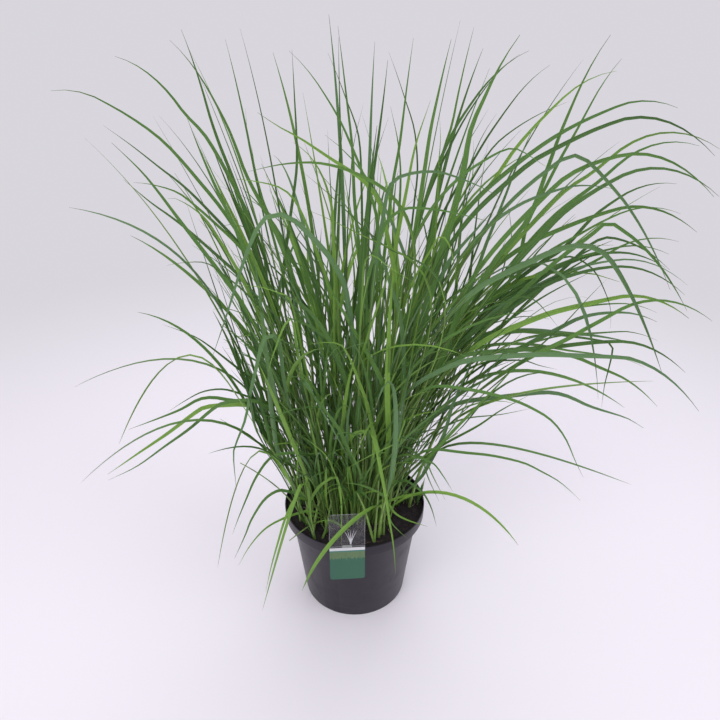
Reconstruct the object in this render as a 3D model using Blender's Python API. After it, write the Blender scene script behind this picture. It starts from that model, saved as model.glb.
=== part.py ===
# Potted switchgrass: a clump of grass in a round moulded nursery pot, with a clear hang label.
# Metres, +Z up. The origin is the middle of the pot's underside, and the front is -Y.

import math

import bmesh
import bpy
from mathutils import Matrix, Vector

# Pot
RIM_RADIUS = 0.110
POT_HEIGHT = 0.165
BASE_RADIUS = 0.0816
SHOULDER_RADIUS = 0.0998
SHOULDER_HEIGHT = 0.1475
COLLAR_DRAFT = 0.0006
WALL = 0.0018
EDGE_ROUND = 0.0010
FLOOR_UNDERSIDE = 0.0040
FLOOR_THICKNESS = 0.0025
FOOT_WIDTH = 0.0045
CENTRE_PAD_RADIUS = 0.014
POT_SIDES = 56
TURNED_SMOOTH_ANGLE = math.radians(40)

# Drainage: three low notches in the foot and six holes in the floor
NOTCH_COUNT = 3
NOTCH_FIRST_ANGLE = math.radians(-114.8)
NOTCH_WIDTH = 0.026
NOTCH_HEIGHT = 0.0060
NOTCH_DEPTH = 0.009
NOTCH_STEPS = 6
NOTCH_FLATNESS = 0.6
DRAIN_HOLES = 6
DRAIN_HOLE_RADIUS = 0.005
DRAIN_CIRCLE_RADIUS = 0.052
DRILL_LENGTH = 0.020
DRILL_SIDES = 12

# Soil
GAP = 0.0003
SOIL_EDGE_HEIGHT = 0.1560
SOIL_CROWN = 0.0025
SOIL_RINGS = 4

# Label: a clear card outside the rim, held by a tab at its back that hooks over the rim
LABEL_TURN = math.radians(4.0)
LABEL_SHIFT = -0.0174
LABEL_WIDTH = 0.0505
LABEL_TOP = 0.2280
LABEL_BOTTOM = 0.1085
LABEL_THICKNESS = 0.0005
LABEL_CORNER_CUT = 0.0060
LABEL_CORNER_RADIUS = 0.0040
LABEL_CORNER_STEPS = 4
HOOK_WIDTH = 0.0140
HOOK_DROP = 0.0065
HOOK_REACH = 0.0066

# Stems: each starts upright, and STEM_LEAN is how far its middle has leant out
STEM_SIDES = 6
STEM_RINGS = 5
STEM_BASE_RADIUS = 0.0026
STEM_TOP_RADIUS = 0.0013
STEM_LEAN = 0.25
STEM_SMOOTH_ANGLE = math.radians(60)

# Leaves: LEAF_HANDLE is how long a leaf follows its stem, as a share of the way to its arch
LEAF_RINGS = 15
LEAF_THICKNESS = 0.0010
LEAF_FOLD = 0.20
LEAF_HANDLE = 0.34
LEAF_STANDOFF = 0.0018
LEAF_WIDEST_AT = 0.30
LEAF_FORK_WIDTH = 0.45
LEAF_TIP_WIDTH = 0.10
LEAF_TAPER_POWER = 1.7
LEAF_SMOOTH_ANGLE = math.radians(50)
TANGENT_STEP = 0.005
FORKS = {"low": 0.36, "mid": 0.68, "top": 1.0}

# Base color and roughness of each material
MATERIALS = {
    "pot_plastic": ((0.045, 0.040, 0.055), 0.42),
    "peat": ((0.018, 0.011, 0.012), 0.95),
    "label_card": ((0.16, 0.30, 0.22), 0.30),
    "leaf_green": ((0.085, 0.20, 0.045), 0.48),
    "stem_green": ((0.16, 0.26, 0.08), 0.50),
}

# One row for each stem: where it leaves the soil, and where it ends
STEMS = {
    "left": ((-0.088, 0.010), (-0.142, 0.014, 0.36)),
    "left_front": ((-0.080, -0.032), (-0.128, -0.055, 0.32)),
    "left_back": ((-0.070, 0.050), (-0.108, 0.083, 0.41)),
    "back_left": ((-0.035, 0.082), (-0.052, 0.140, 0.42)),
    "back": ((0.010, 0.090), (0.018, 0.150, 0.42)),
    "back_right": ((0.052, 0.074), (0.092, 0.120, 0.42)),
    "right_back": ((0.080, 0.036), (0.134, 0.058, 0.41)),
    "right": ((0.086, -0.010), (0.140, -0.014, 0.34)),
    "inner_left": ((-0.045, -0.005), (-0.072, -0.012, 0.42)),
    "inner_back": ((-0.008, 0.040), (-0.012, 0.062, 0.46)),
    "inner_right": ((0.040, 0.020), (0.066, 0.030, 0.44)),
    "centre": ((0.000, -0.035), (0.003, -0.055, 0.38)),
    "front_right": ((0.036, -0.078), (0.046, -0.096, 0.25)),
    "front_left": ((-0.058, -0.083), (-0.068, -0.096, 0.21)),
}

# One row for each leaf: the point that its arch bends towards, its tip, and its width
LEAVES = {
    "left": {
        "low": ((-0.165, -0.030, 0.505), (-0.390, -0.025, 0.380), 0.0070),
        "mid": ((-0.225, 0.035, 0.590), (-0.340, 0.045, 0.700), 0.0070),
        "top": ((-0.175, -0.020, 0.600), (-0.335, -0.045, 0.632), 0.0070),
    },
    "left_front": {
        "low": ((-0.185, -0.075, 0.455), (-0.392, -0.065, 0.245), 0.0070),
        "mid": ((-0.180, -0.018, 0.470), (-0.286, -0.020, 0.490), 0.0045),
        "top": ((-0.190, -0.078, 0.575), (-0.318, -0.080, 0.322), 0.0058),
    },
    "left_back": {
        "low": ((-0.225, 0.105, 0.510), (-0.338, 0.135, 0.553), 0.0066),
        "mid": ((-0.175, 0.120, 0.620), (-0.275, 0.150, 0.720), 0.0066),
        "top": ((-0.140, 0.100, 0.660), (-0.215, 0.125, 0.800), 0.0066),
    },
    "back_left": {
        "low": ((-0.125, 0.240, 0.500), (-0.190, 0.320, 0.380), 0.0070),
        "mid": ((-0.085, 0.200, 0.640), (-0.135, 0.285, 0.650), 0.0066),
        "top": ((-0.070, 0.160, 0.660), (-0.115, 0.195, 0.800), 0.0066),
    },
    "back": {
        "low": ((0.005, 0.270, 0.480), (0.010, 0.360, 0.320), 0.0072),
        "mid": ((0.040, 0.230, 0.620), (0.060, 0.330, 0.600), 0.0066),
        "top": ((0.020, 0.180, 0.660), (0.030, 0.225, 0.815), 0.0066),
    },
    "back_right": {
        "low": ((0.170, 0.230, 0.480), (0.235, 0.310, 0.340), 0.0070),
        "mid": ((0.150, 0.190, 0.600), (0.225, 0.265, 0.640), 0.0066),
        "top": ((0.120, 0.145, 0.660), (0.180, 0.180, 0.805), 0.0066),
    },
    "right_back": {
        "low": ((0.220, 0.010, 0.460), (0.407, 0.020, 0.320), 0.0066),
        "mid": ((0.220, 0.080, 0.590), (0.365, 0.110, 0.690), 0.0070),
        "top": ((0.180, 0.068, 0.640), (0.290, 0.085, 0.790), 0.0070),
    },
    "right": {
        "low": ((0.125, -0.020, 0.340), (0.412, -0.040, 0.223), 0.0072),
        "mid": ((0.190, -0.045, 0.400), (0.405, -0.045, 0.400), 0.0088),
        "top": ((0.215, -0.015, 0.560), (0.375, -0.010, 0.650), 0.0070),
    },
    "inner_left": {
        "low": ((-0.100, -0.125, 0.540), (-0.005, -0.140, 0.340), 0.0058),
        "mid": ((-0.115, -0.020, 0.620), (-0.170, -0.035, 0.780), 0.0066),
        "top": ((-0.085, -0.010, 0.660), (-0.125, 0.000, 0.820), 0.0066),
    },
    "inner_back": {
        "low": ((-0.045, 0.095, 0.620), (-0.070, 0.140, 0.750), 0.0066),
        "mid": ((0.030, 0.085, 0.640), (0.045, 0.120, 0.790), 0.0066),
        "top": ((-0.012, 0.075, 0.680), (-0.030, 0.090, 0.840), 0.0066),
    },
    "inner_right": {
        "low": ((0.270, -0.010, 0.750), (0.310, -0.100, 0.403), 0.0058),
        "mid": ((0.110, 0.050, 0.620), (0.170, 0.070, 0.780), 0.0066),
        "top": ((0.090, 0.036, 0.660), (0.125, 0.038, 0.830), 0.0070),
    },
    "centre": {
        "low": ((0.012, -0.130, 0.480), (0.006, -0.200, 0.430), 0.0072),
        "mid": ((-0.035, -0.130, 0.560), (-0.075, -0.230, 0.590), 0.0070),
        "top": ((0.010, -0.090, 0.600), (0.025, -0.140, 0.730), 0.0070),
    },
    "front_right": {
        "low": ((0.135, -0.110, 0.320), (0.230, -0.120, 0.180), 0.0048),
        "mid": ((-0.040, -0.150, 0.230), (-0.072, -0.150, 0.125), 0.0066),
        "top": ((0.052, -0.150, 0.530), (0.027, -0.160, 0.426), 0.0056),
    },
    "front_left": {
        "low": ((-0.040, -0.110, 0.415), (-0.128, -0.160, 0.098), 0.0064),
        "mid": ((-0.125, -0.080, 0.465), (-0.195, -0.120, 0.138), 0.0050),
        "top": ((-0.075, -0.120, 0.380), (-0.174, -0.160, 0.362), 0.0045),
    },
}


def clear_scene():
    for old in list(bpy.data.objects):
        bpy.data.objects.remove(old, do_unlink=True)


def make_material(name):
    color, roughness = MATERIALS[name]
    material = bpy.data.materials.new(name)
    material.use_nodes = True
    shader = material.node_tree.nodes["Principled BSDF"]
    shader.inputs["Base Color"].default_value = (*color, 1.0)
    shader.inputs["Roughness"].default_value = roughness
    shader.inputs["Metallic"].default_value = 0.0
    return material


def add_object(name, mesh_builder, material, smooth_angle=None):
    """Turns a bmesh into an object of its own, with outward normals."""
    bmesh.ops.recalc_face_normals(mesh_builder, faces=mesh_builder.faces)
    mesh = bpy.data.meshes.new(name)
    mesh_builder.to_mesh(mesh)
    mesh_builder.free()
    mesh.materials.append(material)
    if smooth_angle is not None:
        mesh.shade_smooth()
        mesh.set_sharp_from_angle(angle=smooth_angle)
    placed = bpy.data.objects.new(name, mesh)
    bpy.context.scene.collection.objects.link(placed)
    return placed


def hide_cutter(cutter):
    cutter.hide_render = True
    cutter.display_type = "WIRE"


def add_boolean(target, cutter, operation):
    hide_cutter(cutter)
    cut = target.modifiers.new(cutter.name, "BOOLEAN")
    cut.operation = operation
    cut.solver = "EXACT"
    cut.object = cutter


def turned_solid(profile, sides):
    """Spins an open profile of (radius, height), from the axis round to the axis, into a closed solid."""
    built = bmesh.new()
    rings = []
    for radius, height in profile:
        if radius == 0.0:
            rings.append([built.verts.new((0.0, 0.0, height))])
            continue
        angles = [math.tau * side / sides for side in range(sides)]
        rings.append([built.verts.new((radius * math.cos(a), radius * math.sin(a), height)) for a in angles])
    for lower, upper in zip(rings, rings[1:]):
        for side in range(sides):
            after = (side + 1) % sides
            corners = [lower[side % len(lower)], lower[after % len(lower)]]
            corners += [upper[after % len(upper)], upper[side % len(upper)]]
            built.faces.new(list(dict.fromkeys(corners)))
    return built


def pot_profile():
    inner_floor = FLOOR_UNDERSIDE + FLOOR_THICKNESS
    ledge_height = SHOULDER_HEIGHT + WALL
    return [
        (0.0, 0.0),
        (CENTRE_PAD_RADIUS, 0.0),
        (CENTRE_PAD_RADIUS, FLOOR_UNDERSIDE),
        (BASE_RADIUS - FOOT_WIDTH, FLOOR_UNDERSIDE),
        (BASE_RADIUS - FOOT_WIDTH, 0.0),
        (BASE_RADIUS - EDGE_ROUND, 0.0),
        (BASE_RADIUS, EDGE_ROUND),
        (SHOULDER_RADIUS, SHOULDER_HEIGHT),
        (RIM_RADIUS - COLLAR_DRAFT - EDGE_ROUND, SHOULDER_HEIGHT),
        (RIM_RADIUS - COLLAR_DRAFT, SHOULDER_HEIGHT + EDGE_ROUND),
        (RIM_RADIUS, POT_HEIGHT - EDGE_ROUND / 2),
        (RIM_RADIUS - EDGE_ROUND / 2, POT_HEIGHT),
        (RIM_RADIUS - WALL, POT_HEIGHT),
        (RIM_RADIUS - COLLAR_DRAFT - WALL, ledge_height),
        (SHOULDER_RADIUS - WALL, ledge_height),
        (inner_wall_radius(inner_floor), inner_floor),
        (0.0, inner_floor),
    ]


def inner_wall_radius(height):
    """The pot's inside radius at a height below the shoulder."""
    share = (height - EDGE_ROUND) / (SHOULDER_HEIGHT - EDGE_ROUND)
    return BASE_RADIUS + (SHOULDER_RADIUS - BASE_RADIUS) * share - WALL


def notch_outline():
    """A low arch, wider than high, seen along the pot's radius."""
    half = NOTCH_WIDTH / 2
    outline = [(-half, -NOTCH_HEIGHT), (half, -NOTCH_HEIGHT)]
    for step in range(NOTCH_STEPS + 1):
        angle = math.pi * step / NOTCH_STEPS
        outline.append((half * math.cos(angle), NOTCH_HEIGHT * math.sin(angle) ** NOTCH_FLATNESS))
    return outline


def make_pot(material):
    pot = add_object("pot", turned_solid(pot_profile(), POT_SIDES), material, TURNED_SMOOTH_ANGLE)
    for number in range(NOTCH_COUNT):
        angle = NOTCH_FIRST_ANGLE + math.tau * number / NOTCH_COUNT
        inner = BASE_RADIUS - FOOT_WIDTH / 2 - NOTCH_DEPTH / 2
        block = prism(notch_outline(), lambda y, z: (inner, y, z), (NOTCH_DEPTH, 0.0, 0.0))
        block.transform(Matrix.Rotation(angle, 4, "Z"))
        add_boolean(pot, add_object(f"notch_cutter_{number + 1}", block, material), "DIFFERENCE")
    for number in range(DRAIN_HOLES):
        angle = math.tau * (number + 0.5) / DRAIN_HOLES
        drill = bmesh.new()
        bmesh.ops.create_cone(
            drill,
            cap_ends=True,
            segments=DRILL_SIDES,
            radius1=DRAIN_HOLE_RADIUS,
            radius2=DRAIN_HOLE_RADIUS,
            depth=DRILL_LENGTH,
        )
        centre = Vector((math.cos(angle), math.sin(angle), 0.0)) * DRAIN_CIRCLE_RADIUS
        centre.z = FLOOR_UNDERSIDE
        drill.transform(Matrix.Translation(centre))
        add_boolean(pot, add_object(f"drain_drill_{number + 1}", drill, material), "DIFFERENCE")
    return pot


def soil_height(x, y):
    """Height of the soil's low dome at a place in the pot."""
    reach = RIM_RADIUS - COLLAR_DRAFT - WALL - GAP
    return SOIL_EDGE_HEIGHT + SOIL_CROWN * (1.0 - (x * x + y * y) / reach**2)


def make_soil(material):
    floor = FLOOR_UNDERSIDE + FLOOR_THICKNESS + GAP
    ledge = SHOULDER_HEIGHT + WALL
    collar_inside = RIM_RADIUS - COLLAR_DRAFT - WALL - GAP
    profile = [
        (0.0, floor),
        (inner_wall_radius(floor) - GAP, floor),
        (SHOULDER_RADIUS - WALL - 2 * GAP, ledge + GAP),
        (collar_inside, ledge + GAP),
    ]
    for ring in range(SOIL_RINGS, -1, -1):
        radius = collar_inside * ring / SOIL_RINGS
        profile.append((radius, soil_height(radius, 0.0)))
    return add_object("soil", turned_solid(profile, POT_SIDES), material, TURNED_SMOOTH_ANGLE)


def label_outline():
    """Corners of the card, seen from the front: cut at the top, round at the bottom."""
    half = LABEL_WIDTH / 2
    outline = [
        (half, LABEL_TOP - LABEL_CORNER_CUT),
        (half - LABEL_CORNER_CUT / 2, LABEL_TOP),
        (-half + LABEL_CORNER_CUT / 2, LABEL_TOP),
        (-half, LABEL_TOP - LABEL_CORNER_CUT),
    ]
    for side, first in ((-1, math.pi), (1, 1.5 * math.pi)):
        centre = (side * (half - LABEL_CORNER_RADIUS), LABEL_BOTTOM + LABEL_CORNER_RADIUS)
        for step in range(LABEL_CORNER_STEPS + 1):
            angle = first + math.pi / 2 * step / LABEL_CORNER_STEPS
            outline.append(
                (
                    centre[0] + LABEL_CORNER_RADIUS * math.cos(angle),
                    centre[1] + LABEL_CORNER_RADIUS * math.sin(angle),
                )
            )
    return outline


def prism(outline, place, push):
    """A closed prism: each corner of the outline is put in space by place(), then pushed along a vector."""
    built = bmesh.new()
    near = [built.verts.new(place(a, b)) for a, b in outline]
    far = [built.verts.new(Vector(place(a, b)) + Vector(push)) for a, b in outline]
    built.faces.new(near)
    built.faces.new(list(reversed(far)))
    for index in range(len(outline)):
        after = (index + 1) % len(outline)
        built.faces.new([near[index], far[index], far[after], near[after]])
    return built


def make_label(material):
    front = -RIM_RADIUS - 2 * GAP - LABEL_THICKNESS
    turn = Matrix.Rotation(LABEL_TURN, 4, "Z") @ Matrix.Translation((LABEL_SHIFT, 0.0, 0.0))
    card = prism(label_outline(), lambda x, z: (x, front, z), (0.0, LABEL_THICKNESS, 0.0))
    card.transform(turn)
    label = add_object("label", card, material)

    ride_height = POT_HEIGHT + 2 * GAP
    inner = front + HOOK_REACH
    tab = [
        (front + LABEL_THICKNESS / 2, ride_height),
        (front + LABEL_THICKNESS / 2, ride_height + LABEL_THICKNESS),
        (inner + LABEL_THICKNESS, ride_height + LABEL_THICKNESS),
        (inner + LABEL_THICKNESS, ride_height - HOOK_DROP),
        (inner, ride_height - HOOK_DROP),
        (inner, ride_height),
    ]
    hook = prism(tab, lambda y, z: (-HOOK_WIDTH / 2, y, z), (HOOK_WIDTH, 0.0, 0.0))
    hook.transform(turn)
    add_boolean(label, add_object("label_hook", hook, material), "UNION")
    return label


def stem_point(name, share):
    """A point on a stem's centre line: it leaves the soil upright and leans out as it climbs."""
    (x, y), top = STEMS[name]
    root = Vector((x, y, soil_height(x, y) + GAP))
    end = Vector(top)
    handle = root.lerp(end, STEM_LEAN)
    handle.z = (root.z + end.z) / 2
    return root.lerp(handle, share).lerp(handle.lerp(end, share), share)


def stem_direction(name, share):
    return (stem_point(name, share) - stem_point(name, share - 2 * TANGENT_STEP)).normalized()


def stem_radius(share):
    return STEM_BASE_RADIUS + (STEM_TOP_RADIUS - STEM_BASE_RADIUS) * share


def bridge(built, rings):
    """Joins rings of vertices into a closed skin with a cap at each end."""
    count = len(rings[0])
    for lower, upper in zip(rings, rings[1:]):
        for corner in range(count):
            after = (corner + 1) % count
            built.faces.new([lower[corner], lower[after], upper[after], upper[corner]])
    built.faces.new(list(reversed(rings[0])))
    built.faces.new(rings[-1])


def make_stem(name, material):
    built = bmesh.new()
    rings = []
    for ring in range(STEM_RINGS):
        share = ring / (STEM_RINGS - 1)
        centre = stem_point(name, share)
        radius = stem_radius(share)
        angles = [math.tau * side / STEM_SIDES for side in range(STEM_SIDES)]
        rings.append(
            [built.verts.new(centre + Vector((math.cos(a), math.sin(a), 0.0)) * radius) for a in angles]
        )
    bridge(built, rings)
    return add_object(f"stem_{name}", built, material, STEM_SMOOTH_ANGLE)


def leaf_line(stem, place):
    """The four Bezier points of a leaf's midrib: fork, handle along the stem, arch point and tip."""
    arch, tip, _ = LEAVES[stem][place]
    share = FORKS[place]
    fork = stem_point(stem, share)
    direction = stem_direction(stem, share)
    outward = Vector((arch[0] - fork.x, arch[1] - fork.y, 0.0)).normalized()
    if share < 1.0:
        fork = fork + outward * (stem_radius(share) + LEAF_STANDOFF)
    else:
        fork = fork + direction * 2 * GAP
    handle = fork + direction * (Vector(arch) - fork).length * LEAF_HANDLE
    return [fork, handle, Vector(arch), Vector(tip)]


def bezier(points, share):
    left = 1.0 - share
    weights = (left**3, 3 * left**2 * share, 3 * left * share**2, share**3)
    return sum((point * weight for point, weight in zip(points, weights)), Vector((0.0, 0.0, 0.0)))


def leaf_width(share):
    """Share of the full width: narrow at the fork, widest at a third, drawn out to a fine tip."""
    rise = math.sin(math.pi / 2 * min(share / LEAF_WIDEST_AT, 1.0))
    swell = LEAF_FORK_WIDTH + (1.0 - LEAF_FORK_WIDTH) * rise
    taper = 1.0 - max(0.0, (share - LEAF_WIDEST_AT) / (1.0 - LEAF_WIDEST_AT)) ** LEAF_TAPER_POWER
    return swell * max(taper, LEAF_TIP_WIDTH)


def make_leaf(stem, place, material):
    points = leaf_line(stem, place)
    width = LEAVES[stem][place][2]
    along_plan = Vector((points[3].x - points[0].x, points[3].y - points[0].y, 0.0)).normalized()
    across = along_plan.cross(Vector((0.0, 0.0, 1.0)))
    built = bmesh.new()
    rings = []
    for ring in range(LEAF_RINGS):
        share = ring / (LEAF_RINGS - 1)
        centre = bezier(points, share)
        tangent = (bezier(points, share + TANGENT_STEP) - bezier(points, share - TANGENT_STEP)).normalized()
        upper_side = across.cross(tangent).normalized()
        half = across * (width * leaf_width(share) / 2)
        fold = upper_side * (width * leaf_width(share) * LEAF_FOLD)
        thick = upper_side * (LEAF_THICKNESS / 2)
        corners = [centre - half + fold, centre + thick, centre + half + fold, centre - thick]
        rings.append([built.verts.new(corner) for corner in corners])
    bridge(built, rings)
    return add_object(f"leaf_{stem}_{place}", built, material, LEAF_SMOOTH_ANGLE)


def main():
    clear_scene()
    make_pot(make_material("pot_plastic"))
    make_soil(make_material("peat"))
    make_label(make_material("label_card"))
    green = make_material("leaf_green")
    culm = make_material("stem_green")
    for stem in STEMS:
        make_stem(stem, culm)
        for place in LEAVES[stem]:
            make_leaf(stem, place, green)


main()
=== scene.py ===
# A clump of switchgrass in a round nursery pot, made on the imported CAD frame.
# Metres, +Z up, the front is -Y. The camera stands where the photograph was taken from.

import math
import random

import bmesh
import bpy
import numpy as np
from mathutils import Matrix, Vector, noise


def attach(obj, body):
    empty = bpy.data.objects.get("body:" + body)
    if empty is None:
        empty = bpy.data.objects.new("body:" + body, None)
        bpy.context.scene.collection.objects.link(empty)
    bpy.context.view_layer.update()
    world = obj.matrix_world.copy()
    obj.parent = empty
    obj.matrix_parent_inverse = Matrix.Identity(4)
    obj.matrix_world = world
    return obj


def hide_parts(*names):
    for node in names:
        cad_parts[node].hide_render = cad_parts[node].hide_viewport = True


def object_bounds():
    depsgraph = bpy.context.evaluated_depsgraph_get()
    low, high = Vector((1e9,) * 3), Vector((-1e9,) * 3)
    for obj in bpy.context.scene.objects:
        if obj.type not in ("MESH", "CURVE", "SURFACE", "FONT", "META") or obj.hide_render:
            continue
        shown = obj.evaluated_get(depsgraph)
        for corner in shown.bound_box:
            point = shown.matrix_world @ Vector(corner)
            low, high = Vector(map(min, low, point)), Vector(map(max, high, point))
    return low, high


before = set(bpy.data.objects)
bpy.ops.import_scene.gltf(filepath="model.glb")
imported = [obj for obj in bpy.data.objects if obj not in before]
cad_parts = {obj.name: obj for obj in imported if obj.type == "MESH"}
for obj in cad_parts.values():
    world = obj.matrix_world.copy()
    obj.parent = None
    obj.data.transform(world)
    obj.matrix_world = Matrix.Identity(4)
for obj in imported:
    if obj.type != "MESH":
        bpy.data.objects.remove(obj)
cad_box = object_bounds()

UP = Vector((0.0, 0.0, 1.0))

# Camera: the photograph is taken as 720 pixels square
PHOTO_MIDDLE = 359.5
FOCAL_PIXELS = 600.0
SENSOR_MM = 36.0
LENS_MM = 30.0
CAMERA_PLACE = Vector((0.0085, -0.7615, 0.7795))
CAMERA_DOWN = math.radians(25.9)
SIGHT = Vector((0.0, math.cos(CAMERA_DOWN), -math.sin(CAMERA_DOWN)))
SIGHT_UP = Vector((0.0, math.sin(CAMERA_DOWN), math.cos(CAMERA_DOWN)))

# Pot, as in the CAD
RIM_RADIUS = 0.110
POT_HEIGHT = 0.165
BASE_RADIUS = 0.0816
SHOULDER_RADIUS = 0.0998
SHOULDER_HEIGHT = 0.1475
COLLAR_DRAFT = 0.0006
WALL = 0.0018
FLOOR_UNDERSIDE = 0.0040
FLOOR_THICKNESS = 0.0025
FOOT_WIDTH = 0.0045
CENTRE_PAD_RADIUS = 0.014
POT_SIDES = 160
POT_EDGE_RADIUS = 0.0009
POT_SHARP_ANGLE = math.radians(32)
NOTCH_COUNT = 3
NOTCH_FIRST_ANGLE = math.radians(-114.8)
NOTCH_WIDTH = 0.026
NOTCH_HEIGHT = 0.0060
NOTCH_DEPTH = 0.009
DRAIN_HOLES = 6
DRAIN_HOLE_RADIUS = 0.005
DRAIN_CIRCLE_RADIUS = 0.052
DRILL_DEPTH = 0.02
GAP = 0.0003

# Soil
SOIL_EDGE_HEIGHT = 0.1560
SOIL_CROWN = 0.0025
SOIL_REACH = RIM_RADIUS - COLLAR_DRAFT - WALL - GAP
SOIL_RINGS = 84
SOIL_SIDES = 220
CRUMB_DENSITY = 42000.0
CRUMB_SIZE = 0.0013
FIBRES = 90
FIBRE_POINTS = 8
FIBRE_ROOTS_WITHIN = 0.098
FIBRE_ENDS_WITHIN = 0.103

BARE_SOIL_FROM = 0.050
BARE_SOIL_FRONT = -0.070
BARE_SOIL_BACK = 0.026
STEMS_FRONT = -0.054

# Label
LABEL_TURN = math.radians(4.0)
LABEL_SHIFT = -0.0174
LABEL_WIDTH = 0.0505
LABEL_TOP = 0.2280
LABEL_BOTTOM = 0.1085
LABEL_THICKNESS = 0.0005
LABEL_CORNER_CUT = 0.0060
LABEL_CORNER_RADIUS = 0.0040
LABEL_FRONT = -RIM_RADIUS - 2 * GAP - LABEL_THICKNESS
HOOK_WIDTH = 0.0140
HOOK_DROP = 0.0065
HOOK_REACH = 0.0066
MARK_ROOT = 0.1740
MARK_HEIGHT = 0.0330
MARK_MIDDLE = 0.0050
MARK_REACH = 0.0130
MARK_STROKE = 0.0010

# Stems and leaves of the CAD: where a stem leaves the soil, and where it ends
STEM_BASE_RADIUS = 0.0026
STEM_TOP_RADIUS = 0.0013
STEM_LEAN = 0.25
LEAF_HANDLE = 0.34
LEAF_STANDOFF = 0.0018
FORKS = {"low": 0.36, "mid": 0.68, "top": 1.0}
STEMS = {
    "left": ((-0.088, 0.010), (-0.142, 0.014, 0.36)),
    "left_front": ((-0.080, -0.032), (-0.128, -0.055, 0.32)),
    "left_back": ((-0.070, 0.050), (-0.108, 0.083, 0.41)),
    "back_left": ((-0.035, 0.082), (-0.052, 0.140, 0.42)),
    "back": ((0.010, 0.090), (0.018, 0.150, 0.42)),
    "back_right": ((0.052, 0.074), (0.092, 0.120, 0.42)),
    "right_back": ((0.080, 0.036), (0.134, 0.058, 0.41)),
    "right": ((0.086, -0.010), (0.140, -0.014, 0.34)),
    "inner_left": ((-0.045, -0.005), (-0.072, -0.012, 0.42)),
    "inner_back": ((-0.008, 0.040), (-0.012, 0.062, 0.46)),
    "inner_right": ((0.040, 0.020), (0.066, 0.030, 0.44)),
    "centre": ((0.000, -0.035), (0.003, -0.055, 0.38)),
    "front_right": ((0.036, -0.078), (0.046, -0.096, 0.25)),
    "front_left": ((-0.058, -0.083), (-0.068, -0.096, 0.21)),
}

# Greens: each is a blade's tone, and how much bluish bloom it has
# The deep green is painted shade and the fresh green painted light, on top of the blades' own differing
# tones
DEEP_SHADED = (0.10, 0.10)
MID = (0.50, 0.10)
FRESH_LIT = (0.90, 0.00)
# The bluish green is partly a real waxy bloom and partly a painted sky reflection
BLUISH_SHEEN = (0.55, 0.90)

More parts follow.
